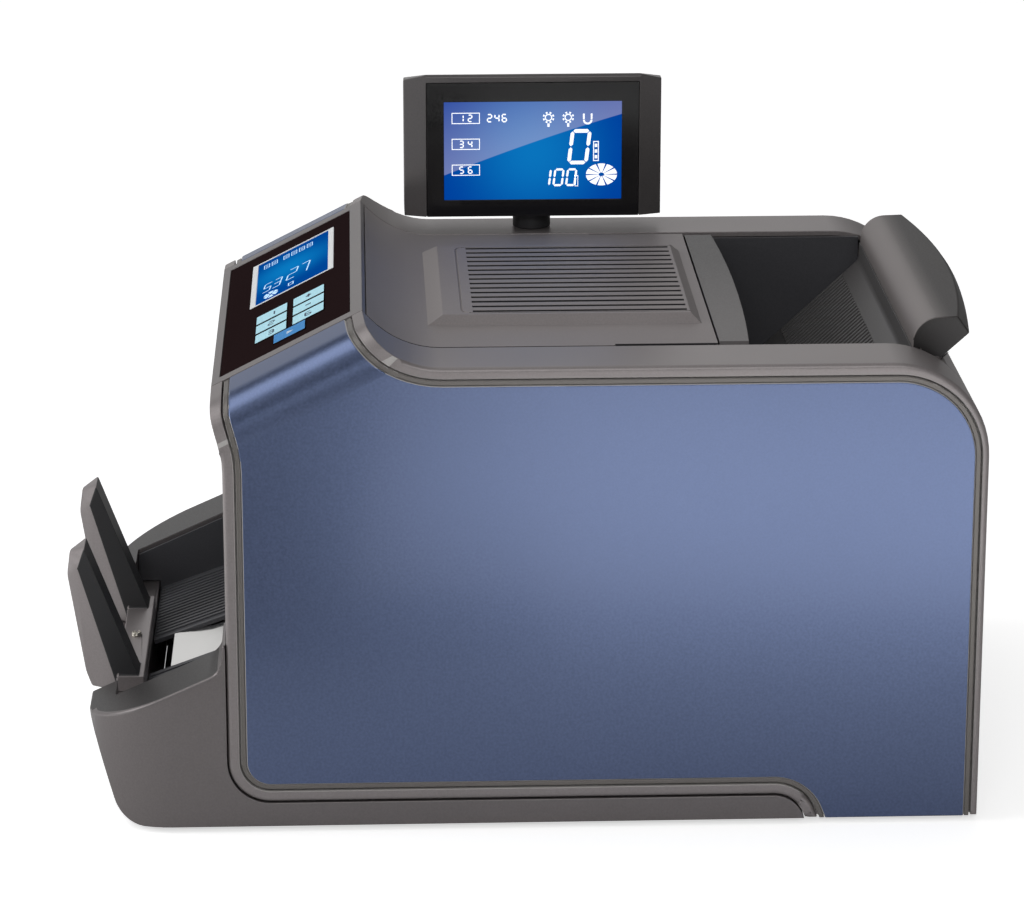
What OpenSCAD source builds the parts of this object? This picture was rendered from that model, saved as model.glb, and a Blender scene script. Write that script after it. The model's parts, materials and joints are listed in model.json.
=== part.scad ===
// Banknote counter with a rear hopper, a front stacker tray and a swivelling customer display.
// Millimetres. X is the operator's right, -Y is the front and Z is up. The floor is at Z 0.

/* [Body] */
// Width over the side shells
body_w = 260; // [250:1:280]
// Width of the rim on each side of the lid and hopper
rim_w = 32; // [30:1:36]
// Y of the rear face
rear_y = 194.5; // [190:0.5:205]
// Y of the front face above the tray
front_y = -124; // [-127:0.5:-122]
// Height of the flat rim along the top
rim_z = 203.5; // [200:0.5:210]
// Height of the underside above the floor
foot_h = 2.5; // [2:0.5:5]
// Thickness of the moulded walls
wall = 2.5; // [2:0.1:3]
// Gap between neighbouring mouldings
seam = 0.4; // [0.2:0.1:0.6]

/* [Side outline] */
// Height of the seam between the base strip and the side shell
seam_z = 13.5; // [12:0.5:16]
// Y where the base strip ends at the floor
step_y = 121; // [110:1:130]
// Steepness of the end of the base strip
step_angle = 68; // [60:1:75]
// Radius of the end of the base strip
step_r = 14; // [10:1:15]
// Radius of the lower front corner of the side shell
front_corner_r = 18; // [12:1:24]
// Radius of the upper rear corner
rear_corner_r = 41; // [36:1:46]
// Y of the ridge between the console and the lid
ridge_y = -65.5; // [-68:0.5:-62]
// Height of that ridge above the rim
ridge_rise = 16.5; // [14:0.5:20]
// Steepness of the sweep from the ridge down to the rim
sweep_angle = 47; // [42:1:52]
// Radius of that sweep
sweep_r = 40; // [30:1:44]
// Slope of the console
console_angle = 27; // [25:1:30]
// Length of the console down its slope
console_len = 71.2; // [70:0.2:74]
// Height of the nose below the console
nose_drop = 6; // [4:0.5:8]
// Radius under the nose
nose_r = 18; // [10:1:22]
// Drop from the rim to where the front face becomes upright
bend_drop = 37.5; // [36:0.5:41]
// Radius where the front face becomes upright
bend_r = 45; // [30:1:50]

/* [Side panels] */
// Fall of the shoulder from the console to the side face
shoulder_drop = 3.2; // [2:0.2:5]
// Radius of the shoulder
shoulder_r = 20; // [14:1:22]
// Width of the shell's border round the panel
band_w = 4.8; // [4:0.1:6]
// Width cut from that border at the rear
rear_band_cut = 2; // [1:0.1:3]
// Width of the groove inside the border
groove_w = 0.8; // [0.5:0.1:1.2]
// Width of the trim ring
trim_w = 2; // [1.5:0.1:3]
// Depth of the recess that holds the trim and the panel
recess_d = 4.2; // [3.5:0.1:5]
// Depth of the trim below the panel
trim_sink = 0.5; // [0.2:0.1:1]
// Bond line behind the trim and the panel
bond = 0.2; // [0.1:0.1:0.4]

/* [Console] */
// Width of the border beside the overlay
console_side = 8; // [7:0.5:10]
// Width of the border at the ridge
console_rear = 5.7; // [4:0.1:7]
// Width of the border at the nose
console_front = 3.7; // [3:0.1:5]
// Thickness of the overlay
overlay_t = 1; // [0.8:0.1:1.4]
// Depth of the overlay below the console's surface
overlay_sink = 0.2; // [0.1:0.1:0.4]
// X of the middle of the console's LCD
lcd_x = -37; // [-40:1:-34]
// Distance of the middle of the LCD down the slope
lcd_s = 34.7; // [33:0.1:37]
// Width of the LCD across the console
lcd_w = 71.5; // [66:0.5:73]
// Length of the LCD down the slope
lcd_l = 36; // [32:0.5:38]
// Border of the LCD's frame at its sides
lcd_side = 1.6; // [1.2:0.1:2.2]
// Border of the LCD's frame at its ends
lcd_end = 2.8; // [2:0.1:3.6]
// Distance between the rows of keys
key_pitch = 15; // [14.6:0.1:15.4]
// Width of a key
key_w = 12.6; // [11:0.1:13]
// Length of a key down the slope
key_l = 15; // [13:0.1:16]
// Distance of the key columns down the slope from the ridge
key_s = [43.6, 25.6];
// Distance from the start key to the overlay's edge
start_edge = 8.7; // [7:0.1:9]
// Distance from the start key to the nearest row of keys
start_pitch = 14.9; // [14.7:0.1:15.2]
// Distance of the start key down the slope
start_s = 34.4; // [33:0.1:36]
// Height of the keys above the overlay
key_h = 0.5; // [0.3:0.1:0.9]
// Travel of the keys
key_travel = 0.6; // [0.4:0.1:0.7]
// Gap round the keys
key_gap = 0.3; // [0.2:0.05:0.4]
// Thickness of the key's foot under the overlay
key_foot = 1.2; // [0.8:0.1:1.6]
// Overhang of that foot
key_lip = 0.6; // [0.4:0.1:0.7]
// Thickness of the circuit boards
board_t = 1.6; // [1.2:0.1:2]

/* [Lid] */
// Y of the rear edge of the lid
lid_rear = 83.7; // [82:0.5:86]
// Extra gap between the lid and the side shells
lid_gap = 0.6; // [0.3:0.1:1]
// Width of the finger notches beside the lid
lid_notch = 2.6; // [2:0.2:4]
// Y of the front of those notches
lid_notch_y = 40.5; // [36:0.5:50]
// Y of the front foot of the raised louvre panel
louvre_front = -38; // [-40:1:-34]
// Rear margin of the louvre panel
louvre_margin = 4.2; // [3:0.1:6]
// Half width of the louvre panel at its foot
louvre_half = 63.5; // [60:0.5:68]
// Height of the louvre panel
louvre_h = 4; // [3:0.1:5]
// Run of its front bevel
bevel_front = 7; // [5:0.5:9]
// Run of its side bevels
bevel_side = 3.6; // [2:0.1:5]
// Run of its rear bevel
bevel_rear = 4.4; // [3:0.1:6]
// Number of louvre slots
slots = 15; // [11:1:15]
// Distance between the slots
slot_pitch = 7.8; // [7:0.1:8]
// Width of a slot
slot_w = 2.8; // [2:0.1:3.4]
// Front margin of the slots on the raised panel
slot_front = 13; // [10:0.5:16]
// Rear margin of the slots on the raised panel
slot_rear = 1.2; // [0.8:0.1:3]
// Depth of the slots below the slats
slat_t = 2; // [1.5:0.1:2.5]
// Distance from the slots to the fine line in front of them
line_front = 5; // [4:0.5:7]
// Distance from the slots to the fine line beside them
line_side = 1.6; // [1:0.1:1.8]
// Width and depth of that line
line_w = 0.6; // [0.4:0.1:0.8]

/* [Hopper] */
// Width of the plate between the lid and the hopper
strip_w = 13; // [10:0.5:16]
// Crown of the plate's rear edge
strip_crown = 3; // [2:0.5:4]
// Gap between the plate's ends and the side shells
strip_end = 4; // [3:0.5:6]
// Run and drop of the plate's end chamfers
strip_chamfer = 1.6; // [1:0.1:1.9]
// Thickness of the hopper's side walls
well_t = 2; // [1.6:0.1:3]
// Height of the gate under the front of the hopper
gate_h = 24; // [18:1:30]
// Y of the foot of the ramp
ramp_y = 97; // [94:0.5:98]
// Height of the foot of the ramp
ramp_z = 126; // [124:0.5:130]
// Slope of the ramp
ramp_angle = 43; // [41:0.5:44]
// Length of the straight part of the ramp
ramp_len = 94.5; // [92:0.5:96]
// Steepness of the ramp's top end
ramp_top_angle = 88; // [80:1:89]
// Length of that end
ramp_top_len = 8; // [6:0.5:9]
// Thickness of the ramp
ramp_t = 2.5; // [2:0.1:3]
// Least smooth width beside the ribs on the ramp
ramp_rib_edge = 4; // [2:0.5:8]
// Distance between the ribs
ramp_rib_pitch = 4.5; // [4:0.1:6]
// Width of a rib
ramp_rib_w = 1.8; // [1.2:0.1:2.4]
// Height of a rib
ramp_rib_h = 1; // [0.6:0.1:1.4]
// Length of the smooth stretch below the ribs
ramp_smooth = 46; // [42:0.5:50]
// Length of the ribs
ramp_rib_l = 38.5; // [34:0.5:41]
// Height of the guide above the rim
guide_h = 9.7; // [9:0.1:11]
// Gap between the guide's ends and the side shells
guide_gap = 7; // [5:0.5:9]
// Depth of the guide from front to rear
guide_d = 24.1; // [21.5:0.1:25]
// Crown of the guide's rear face
guide_crown = 6.5; // [4:0.5:7]
// Lean of that face
guide_back = 36; // [30:1:40]
// Height of its lower edge above the rim
guide_edge = 2.1; // [1:0.1:3]
// Radius along the top of the guide's front
guide_r = 11; // [8:0.5:12]

/* [Rear] */
// Distance from the power inlet to the left side shell
inlet_edge = 43; // [40:1:50]
// Height of the inlet and the switch
inlet_z = 36; // [32:1:44]
// Width of the inlet's flange
inlet_w = 32; // [30:0.5:36]
// Height of the inlet's flange
inlet_h = 26; // [24:0.5:30]
// Thickness of the inlet's walls
inlet_wall = 3; // [2:0.1:3.5]
// Depth of the inlet's recess
inlet_depth = 16; // [14:0.5:18]
// Length of the inlet's pins
pin_len = 9; // [7:0.5:10]
// Distance from the inlet to the switch
switch_dx = 36; // [34:1:44]
// Width of the switch bezel
switch_w = 16; // [15:0.5:20]
// Height of the switch bezel
switch_h = 24; // [22:0.5:28]
// Diameter of the heads of the case screws
screw_head_d = 6; // [5:0.5:8]
// Distance from the case screws to the ends of the rear cover
screw_inset = 8; // [6:0.5:12]
// Height between the case screws
screw_rise = 100; // [80:1:110]
// Length of the case screws behind the cover
screw_l = 6; // [4:0.5:10]
// Swing of the rocker to each side
rocker_swing = 8; // [5:0.5:9]

/* [Display] */
// Y of the display's post
post_y = 14.5; // [10:0.5:20]
// Diameter of the post above the rim
post_d = 17.5; // [15:0.5:18]
// Height of the post above the rim
post_h = 8; // [6:0.5:12]
// Diameter of the post's spigot in its socket
spigot_d = 10; // [8:0.5:11]
// Length of the spigot
spigot_l = 17; // [14:0.5:22]
// Running clearance on the radius of shafts and spigots
run_gap = 0.05; // [0.02:0.01:0.08]
// Gap under the post
rest_gap = 0.3; // [0.2:0.05:0.4]
// Width of the display
disp_w = 119; // [110:1:126]
// Height of the display
disp_h = 67; // [64:0.5:74]
// Depth of the display
disp_d = 30; // [26:0.5:31]
// Width of the display's wings
wing_w = 10.5; // [8:0.5:12]
// Fall of the wings
wing_d = 4; // [3:0.5:6]
// Fall of the top of the wings
wing_fall = 3; // [2:0.1:4]
// Fall of the display's top to the rear
disp_fall = 10; // [6:0.5:12]
// Height of the top border above the window
disp_top = 4; // [3.5:0.5:6]
// Depth of the window below the housing's face
window_sink = 0.3; // [0.2:0.1:0.6]
// Thickness of the window
window_t = 2; // [1.6:0.1:3]
// Width of the display's LCD
disp_lcd_w = 82; // [76:0.5:86]
// Height of the display's LCD
disp_lcd_h = 46; // [42:0.5:48]
// Height of the LCD above the display's lower edge
disp_lcd_up = 8; // [7:0.5:10]

/* [Tray] */
// Y of the tray's front lip
lip_y = -184; // [-188:0.5:-182]
// Height of that lip
lip_z = 46; // [44:0.5:50]
// Lean of the tray's front wall
lip_lean = 18; // [14:0.5:20]
// Radius under the tray's front
tray_foot_r = 14; // [10:0.5:16]
// Height of the tray's rim at the body
horn_z = 72; // [70:0.5:75]
// Length of the tip where the rim turns up along the body
horn_h = 12; // [9:0.5:14]
// Radius of the tray's front corners seen from above
tray_corner_r = 36; // [28:1:40]
// Thickness of the tray's front wall at its rim
tray_front_t = 11.5; // [10:0.5:13]
// Half the width of the gap in the front wall
front_gap = 80; // [70:1:90]
// Height of the ledge under the note stop
ledge_z = 36; // [34:0.5:38]
// Height of the front of the stacker floor
floor_z = 32.5; // [31:0.5:33.5]
// Y of the front of the bottom plate
plate_front = -160; // [-162:0.5:-156]
// Rise of the stacker floor
floor_angle = 20; // [17:0.5:21]
// Y of the rear end of the stacker floor
floor_rear = -106; // [-108:0.5:-104]
// Height of the back wall behind the stacked notes
back_z = 112; // [105:1:116]
// Lean of that wall over its height
back_lean = 3; // [0:0.5:4]
// Thickness of the walls beside the floor
liner_t = 1.6; // [1.2:0.1:2.4]
// Half width of the slot in the floor
chute_half = 22; // [18:0.5:26]
// Y of the front edge of the chute plate
chute_y = -152.5; // [-155:0.5:-148]
// Radius of the chute plate's bend
chute_r = 60; // [40:1:80]
// Thickness of the chute plate
chute_t = 1; // [0.8:0.1:1.5]
// Distance from the slot to the first rib on the floor
floor_rib_gap = 4; // [3:0.5:8]
// Least smooth width outside the ribs on the floor
floor_rib_edge = 2; // [1:0.5:6]
// Distance between the ribs
floor_rib_pitch = 4.2; // [3.6:0.1:5]
// Width of a floor rib
floor_rib_w = 2; // [1.4:0.1:2.4]
// Height of a floor rib
floor_rib_h = 0.9; // [0.6:0.1:1.2]

/* [Note stop] */
// Half width of the bracket
stop_half = 54; // [53:0.5:60]
// Depth of the bracket
stop_d = 12; // [11:0.5:14]
// Height of the bracket
stop_h = 7; // [6:0.5:9]
// Y of the bracket's rear edge
stop_rear = -162.6; // [-163:0.2:-162]
// X of the middle of a finger
finger_x = 45; // [42:0.5:48]
// Width of a finger
finger_w = 16; // [13:0.5:18]
// Height of a finger above the bracket
finger_h = 59; // [55:0.5:62]
// Forward lean of a finger's note side over its height
finger_lean = 24.7; // [23:0.1:26]
// Depth of a finger at its foot
finger_d = 23.5; // [20:0.5:25]
// Width of the ridge along the front of a finger
finger_ridge = 2; // [1.5:0.5:4]
// Depth of the screw in the base
stop_screw_l = 6; // [5:0.5:9]
// Diameter of the screw's head
stop_screw_d = 5; // [4:0.5:6]

/* [Mechanism] */
// Room between the steel side plates and the side shells
plate_room = 12; // [10:0.5:14]
// Thickness of the side plates
plate_t = 2; // [1.6:0.1:2.5]
// Diameter of the shafts
shaft_d = 8; // [7:0.5:9]
// Y and height of the pickup shaft
pickup_at = [121, 130.5];
// Y and height of the feed shaft
feed_at = [78, 106];
// Y and height of the transport shaft
transport_at = [-10, 106];
// Y and height of the stacker shaft
stacker_at = [-92, 84];
// Y and height of the motor's shaft
motor_at = [34, 48];
// Radius of the pickup rollers
pickup_r = 15; // [13:0.5:15]
// Radius of the feed and transport rollers
roller_r = 20; // [17:0.5:21]
// Radius of the pinch rollers
pinch_r = 9; // [7:0.5:11]
// Gap between the pinch rollers and the transport rollers
nip = 0.4; // [0.3:0.05:0.6]
// Width of the rollers
roller_w = 18; // [14:1:20]
// X of the middle of the rollers
roller_x = [-50, 0, 50];
// X of the middle of the pickup rollers
pickup_x = [-32, 32];
// X of the middle of the stacker wheels
wheel_x = [-48, 48];
// Radius of the stacker wheels
wheel_r = 33; // [29:0.5:33]
// Width of the stacker wheels
wheel_w = 10; // [8:0.5:13]
// Vanes on each stacker wheel
wheel_vanes = 12; // [8:1:14]
// Thickness of a vane
vane_t = 1.8; // [1.4:0.1:2.4]
// Radius of the motor
motor_r = 27; // [24:0.5:29]
// Length of the motor
motor_l = 62; // [50:1:70]
// Radius of the motor's pulley
small_pulley_r = 9; // [8:0.5:10]
// Radius of the other pulleys
pulley_r = 14; // [12:0.5:15]
// Thickness of the belts
belt_t = 1.5; // [1.2:0.1:2]
// Width of the belts
belt_w = 5; // [4:0.5:6]
// Gap between a belt and its pulleys
belt_gap = 0.3; // [0.2:0.05:0.4]
// Gap between the sensor bridge and the transport rollers
bridge_gap = 6; // [4:0.5:8]
// Depth of the sensor bridge
bridge_d = 26; // [20:1:30]
// Height of the sensor bridge
bridge_h = 16; // [12:1:20]
// Diameter of the sensors' lenses
lens_d = 8; // [6:0.5:10]
// Distance between the lenses
lens_pitch = 30; // [24:1:34]
// Width, depth and height of the transformer
supply_size = [44, 50, 38];
// Y of the middle of the transformer
supply_y = 124; // [120:1:132]
// Thickness of the transformer's windings
coil_t = 8; // [6:0.5:10]
// Diameter of the tie rods
rod_d = 8; // [6:0.5:9]

/* [Hidden] */
$fn = 64;

gunmetal = [0.38, 0.37, 0.37];
trim_grey = [0.44, 0.43, 0.42];
blue = [0.3, 0.36, 0.48];
black = [0.12, 0.12, 0.13];
steel = [0.75, 0.76, 0.77];
dark_steel = [0.45, 0.46, 0.48];
rubber = [0.15, 0.15, 0.15];
board_green = [0.1, 0.35, 0.2];

// Degrees of arc between the points of a rounded corner
arc_step = 6;
// Longer than the body in every direction
far = 500;
half_w = body_w / 2;
in_w = half_w - rim_w;
// Half width of what lies between the side shells
mid_w = in_w - seam;

function unit(v) = v / norm(v);
function left_of(v) = [-v[1], v[0]];
function turn(a, b) = a[0] * b[1] - a[1] * b[0];
function before(p, i) = p[(i + len(p) - 1) % len(p)];
function after(p, i) = p[(i + 1) % len(p)];
function polar(r, a) = r * [cos(a), sin(a)];

// Arc of radius r that rounds the corner at v between a and b
function corner(a, v, b, r) =
    let (
        u = unit(a - v),
        w = unit(b - v),
        half = acos(u * w) / 2,
        centre = v + unit(u + w) * r / sin(half),
        first = v + u * r / tan(half) - centre,
        start = atan2(first[1], first[0]),
        sweep = (turn(v - a, b - v) > 0 ? 1 : -1) * (180 - 2 * half),
        n = max(2, ceil(abs(sweep) / arc_step))
    )
    [for (k = [0:n]) centre + polar(r, start + sweep * k / n)];

// Closed outline with rounded corners
function rounded(p, r) =
    [for (i = [0:len(p) - 1]) each r[i] > 0 ? corner(before(p, i), p[i], after(p, i), r[i]) : [p[i]]];

// Where the corner at v goes when both of its edges move left by d
function shifted(a, v, b, d) =
    let (m = left_of(unit(v - a)), n = left_of(unit(b - v))) v + (m + n) * d / (1 + m * n);

// Radius of a corner after its edges have moved left by d
function eased(a, v, b, r, d) = r > 0 ? max(r - d * sign(turn(v - a, b - v)), seam / 2) : 0;

// Counter-clockwise outline moved inwards by d, with rounded corners
function inset(p, r, d) = rounded(
    [for (i = [0:len(p) - 1]) shifted(before(p, i), p[i], after(p, i), d)],
    [for (i = [0:len(p) - 1]) eased(before(p, i), p[i], after(p, i), r[i], d)]);

// Open path moved left by d, with rounded corners
function beside(p, r, d) =
    let (
        last = len(p) - 1,
        q = [for (i = [0:last])
            i == 0 ? p[0] + left_of(unit(p[1] - p[0])) * d
            : i == last ? p[last] + left_of(unit(p[last] - p[last - 1])) * d
            : shifted(p[i - 1], p[i], p[i + 1], d)]
    )
    [for (i = [0:last]) each i == 0 || i == last || r[i] == 0 ? [q[i]]
        : corner(q[i - 1], q[i], q[i + 1], eased(p[i - 1], p[i], p[i + 1], r[i], d))];

function reversed(p) = [for (i = [len(p) - 1:-1:0]) p[i]];

// Side outline of the body, as Y and Z, running round from its lower front corner
ridge_z = rim_z + ridge_rise;
bend_z = rim_z - bend_drop;
ridge = [ridge_y, ridge_z];
down_slope = -[cos(console_angle), sin(console_angle)];
nose = ridge + console_len * down_slope;
sweep_foot = [ridge_y + (ridge_z - rim_z) / tan(sweep_angle), rim_z];
step_top = [step_y - (seam_z - foot_h) / tan(step_angle), seam_z];
step_low = step_top + far / 8 * [cos(step_angle), -sin(step_angle)];
shell_pts = [[front_y, seam_z], step_top, step_low, [rear_y, step_low[1]], [rear_y, rim_z], sweep_foot,
    ridge, nose, nose - [0, nose_drop], [front_y, bend_z]];
shell_r = [front_corner_r, step_r, 0, 0, rear_corner_r, sweep_r, 0, 0, nose_r, bend_r];

// The same outline carried past the console and the rear, for the borders of the side panels
border_rear = rear_y + rear_band_cut;
border_pts = [[front_y, seam_z], step_top, step_low, [border_rear, step_low[1]], [border_rear, rim_z],
    sweep_foot, ridge + console_len * unit(ridge - sweep_foot), [nose[0], ridge_z + console_len],
    nose - [0, nose_drop], [front_y, bend_z]];
border_r = [front_corner_r, step_r, 0, 0, rear_corner_r, sweep_r, 0, 0, nose_r, bend_r];

// Cross-section of the shoulder, as X and the height over the console's plane
shoulder_pts = [[0, -far], [half_w, -far], [half_w, -shoulder_drop], [in_w, 0], [0, 0]];
shoulder_radii = [0, 0, shoulder_r, 0, 0];
panel_in = band_w + groove_w + trim_w + bond;

// Side outline of the tray and the base strip
tray_foot_y = lip_y + (lip_z - foot_h) * tan(lip_lean);
horn_t = 1.4;
horn_y = front_y - seam - horn_t;
tray_pts = [[tray_foot_y, foot_h], [step_y + rim_w, foot_h], [step_y + rim_w, horn_z],
    [front_y + horn_t, horn_z], [front_y + horn_t, horn_z + horn_h], [horn_y, horn_z + horn_h],
    [horn_y, horn_z], [lip_y, lip_z]];
tray_r = [tray_foot_r, 0, 0, 0, 0, 0, horn_h - horn_t, horn_t];
tray_in = lip_y + tray_front_t;
// Height of the tray's rim at y
function rim_at(y) = lip_z + (y - lip_y) * (horn_z - lip_z) / (horn_y - lip_y);
plan_pts = [[-half_w, lip_y], [half_w, lip_y], [half_w, far], [-half_w, far]];
plan_r = [tray_corner_r, tray_corner_r, 0, 0];

// Path of the ramp up the back of the hopper, along its upper face
ramp_foot = [ramp_y, ramp_z];
ramp_bend = ramp_foot + polar(ramp_len, ramp_angle);
ramp_end = ramp_bend + polar(ramp_top_len, ramp_top_angle);
ramp_path = [ramp_end, ramp_bend, ramp_foot];
ramp_bend_r = 4;
ramp_w = mid_w - well_t - seam;
ramp_rib_half = floor((ramp_w - ramp_rib_w / 2 - ramp_rib_edge) / ramp_rib_pitch);

// Path of the stacker floor, along its upper face
floor_front = stop_rear + seam;
floor_low = [floor_front, floor_z];
floor_high = floor_low + (floor_rear - floor_front) * [1, tan(floor_angle)];
floor_path = [[floor_rear + back_lean, back_z], floor_high, floor_low];
floor_back_r = 6;
floor_t = 2;
stop_screw_y = stop_rear - stop_d / 2;

inlet_x = inlet_edge - in_w;

// Places along the console
overlay_w = in_w - console_side;
overlay_l = console_len - console_rear - console_front;
overlay_s = console_rear + overlay_l / 2;
start_w = key_w + 1.2;
start_x = overlay_w - start_edge - start_w / 2;
key_x = start_x - start_pitch - 2 * key_pitch;

// Display
post_x = -(half_w + in_w) / 2;
disp_z = rim_z + post_h;
face_x = post_x + disp_d / 2;

// Mechanism
plate_x = in_w - plate_room;
mouth_top = stacker_at[1] + wheel_r;
pinch_at = transport_at + [0, roller_r + pinch_r + nip];
bottom_top = foot_h + plate_t;
pulley_x = plate_x + plate_t + 3;
lane = belt_w + 2.5;
shaft_stub = plate_x + plate_t + 1;

module along_x(x0, x1) {
    translate([x0, 0, 0]) rotate([90, 0, 90]) linear_extrude(x1 - x0) children();
}

module along_y(y0, y1) {
    translate([0, y1, 0]) rotate([90, 0, 0]) linear_extrude(y1 - y0) children();
}

module both_sides() {
    children();
    mirror([1, 0, 0]) children();
}

// Frame of the console: Y runs up the slope to the ridge and Z stands out of its surface
module on_slope(x = 0, s = 0, z = 0) {
    translate([0, ridge_y, ridge_z]) rotate([console_angle, 0, 0]) translate([x, -s, z]) children();
}

module above_floor(d = 0) {
    intersection() {
        children();
        translate([-far, foot_h + d]) square([2 * far, far]);
    }
}

module side_outline(d = 0) {
    above_floor() polygon(inset(shell_pts, shell_r, d));
}

module border(d) {
    above_floor() polygon(inset(border_pts, border_r, d));
}

// Everything under the right-hand shoulder, d below its surface
module shoulder(d = 0) {
    on_slope() along_y(-far, far) polygon(inset(shoulder_pts, shoulder_radii, d));
}

// Moulded skin along the top, front and rear outline between the side shells
module skin(y0, y1, z0, z1, t = wall, w = mid_w) {
    along_x(-w, w) intersection() {
        difference() {
            side_outline();
            side_outline(t);
        }
        translate([y0, z0]) square([y1 - y0, z1 - z0]);
    }
}

// Strip of thickness t whose left side is the path
module strip(path, radii, t) {
    polygon(concat(beside(path, radii, 0), reversed(beside(path, radii, t))));
}

// Rib of height h on the straight path of a plate of thickness t
module rib(path, h, t) {
    polygon(concat(beside(path, [0, 0], -h), reversed(beside(path, [0, 0], t / 2))));
}

module block(lo, hi) {
    translate(lo) cube(hi - lo);
}

module on_axis(at, x) {
    translate([x, at[0], at[1]]) rotate([0, 90, 0]) children();
}

// Base and tray

module tray_outline(d = 0) {
    polygon(inset(tray_pts, tray_r, d));
}

module tray_plan(d = 0) {
    linear_extrude(far) polygon(inset(plan_pts, plan_r, d));
}

module base_tray() {
    color(gunmetal) difference() {
        intersection() {
            along_x(-half_w, half_w) tray_outline();
            tray_plan();
        }
        both_sides() along_x(in_w - 1, half_w + 1) polygon(inset(shell_pts, shell_r, -seam));
        block([-in_w, tray_in, ledge_z], [in_w, far, far]);
        block([-front_gap, lip_y - far, ledge_z], [front_gap, far, far]);
        block([-in_w, stop_rear, foot_h + wall], [in_w, far, far]);
        block([-in_w, plate_front, -1], [in_w, far, far]);
        difference() {
            intersection() {
                along_x(-half_w, half_w) difference() {
                    union() {
                        tray_outline(wall);
                        translate([0, -2 * wall]) tray_outline(wall);
                    }
                    polygon(inset(shell_pts, shell_r, -seam - wall));
                }
                tray_plan(wall);
            }
            block([-in_w - wall, tray_in - wall, -1], [in_w + wall, far, far]);
            block([-in_w - wall, lip_y - far, ledge_z - wall], [in_w + wall, tray_in, far]);
        }
        translate([0, stop_screw_y, ledge_z - stop_screw_l - seam]) cylinder(d = stop_screw_d / 2, h = far);
    }
}

module bottom_plate() {
    front = plate_front + seam;
    vent_l = 40;
    vent_w = 4;
    vents = 7;
    color(dark_steel) difference() {
        block([-mid_w, front, foot_h], [mid_w, rear_y - wall - seam, bottom_top]);
        both_sides() for (k = [0:vents - 1])
            translate([plate_x / 2 - vent_l / 2, motor_at[0] + motor_r + 2 * vent_w * k, 0])
                cube([vent_l, vent_w, far]);
    }
}

module rubber_feet() {
    foot_d = 18;
    inset_x = 24;
    foot_front = plate_front + inset_x;
    foot_rear = rear_y - inset_x;
    color(rubber) both_sides() for (y = [foot_front, foot_rear])
        translate([in_w - inset_x, y, 0]) cylinder(d1 = foot_d - 2, d2 = foot_d, h = foot_h);
}

module stacker_floor() {
    radii = [0, floor_back_r, 0];
    first_rib = chute_half + floor_rib_gap;
    room = mid_w - liner_t - floor_rib_edge - floor_rib_w - first_rib;
    rim_drop = 2;
    liner_front = tray_in + seam;
    rib_front = floor_low + polar(1, floor_angle);
    rib_rear = floor_high - polar(floor_back_r, floor_angle);
    wheel_room = 2;
    color(black) {
        difference() {
            along_x(-mid_w, mid_w) strip(floor_path, radii, floor_t);
            block([-chute_half, floor_front - floor_t, -far], [chute_half, floor_rear - floor_back_r, far]);
            for (x = wheel_x) on_axis(stacker_at, x - wheel_w / 2 - wheel_room)
                cylinder(r = wheel_r + wheel_room, h = wheel_w + 2 * wheel_room);
        }
        both_sides() {
            for (k = [0:floor(room / floor_rib_pitch)]) translate([first_rib + k * floor_rib_pitch, 0, 0])
                along_x(0, floor_rib_w) rib([rib_rear, rib_front], floor_rib_h, floor_t);
            along_x(mid_w - liner_t, mid_w) polygon(concat(reversed(beside(floor_path, radii, 0)),
                [[front_y + wall + seam, back_z], [front_y + wall + seam, horn_z - rim_drop],
                [horn_y, horn_z - rim_drop], [liner_front, rim_at(liner_front) - rim_drop],
                [liner_front, ledge_z + seam], [floor_front, ledge_z + seam]]));
        }
    }
}

module chute_plate() {
    along = unit(floor_high - floor_low);
    front = floor_low + along * (chute_y - floor_front) / along[0];
    rear = floor_high - along * (floor_back_r + 2 * chute_t);
    dip = 3;
    path = [rear, (front + rear) / 2 - left_of(along) * dip, front];
    color(steel) along_x(-chute_half + seam, chute_half - seam) strip(path, [0, chute_r, 0], chute_t);
}

module note_stop() {
    foot_z = ledge_z + stop_h;
    foot = [stop_rear, ledge_z];
    top = [stop_rear - finger_lean, foot_z + finger_h];
    tip = [6.7, 3];
    brow = [8.2, 14];
    cheek = [3.2, 9];
    chin = 2.5;
    // Outline of a finger through its ridge, seen from the side
    nose = rounded([foot, top, top - tip, top - brow, [stop_rear - finger_d - chin, foot_z],
        [stop_rear - finger_d, ledge_z]], [0, 1, 2.5, 14, 20, 0]);
    // Outline of the flat part of its sides
    flank = [foot, top, top - cheek, [stop_rear - finger_d / 2, ledge_z]];
    color(gunmetal) difference() {
        union() {
            block([-stop_half, stop_rear - stop_d, ledge_z], [stop_half, stop_rear, foot_z]);
            both_sides() translate([finger_x, 0, 0]) hull() {
                along_x(-finger_w / 2, finger_w / 2) polygon(flank);
                along_x(-finger_ridge / 2, finger_ridge / 2) polygon(nose);
            }
        }
        translate([0, stop_screw_y, 0]) cylinder(d = stop_screw_d / 2 + 2 * seam, h = far);
    }
}

module note_stop_screw() {
    head_h = 1.8;
    slot = 1;
    color(steel) translate([0, stop_screw_y, ledge_z + stop_h]) difference() {
        union() {
            cylinder(d1 = stop_screw_d, d2 = stop_screw_d - 1, h = head_h);
            translate([0, 0, -stop_h - stop_screw_l]) cylinder(d = stop_screw_d / 2, h = stop_h + stop_screw_l);
        }
        block([-slot / 2, -far, head_h / 2], [slot / 2, far, far]);
        block([-far, -slot / 2, head_h / 2], [far, slot / 2, far]);
    }
}

// Side shells, trims and panels

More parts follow.
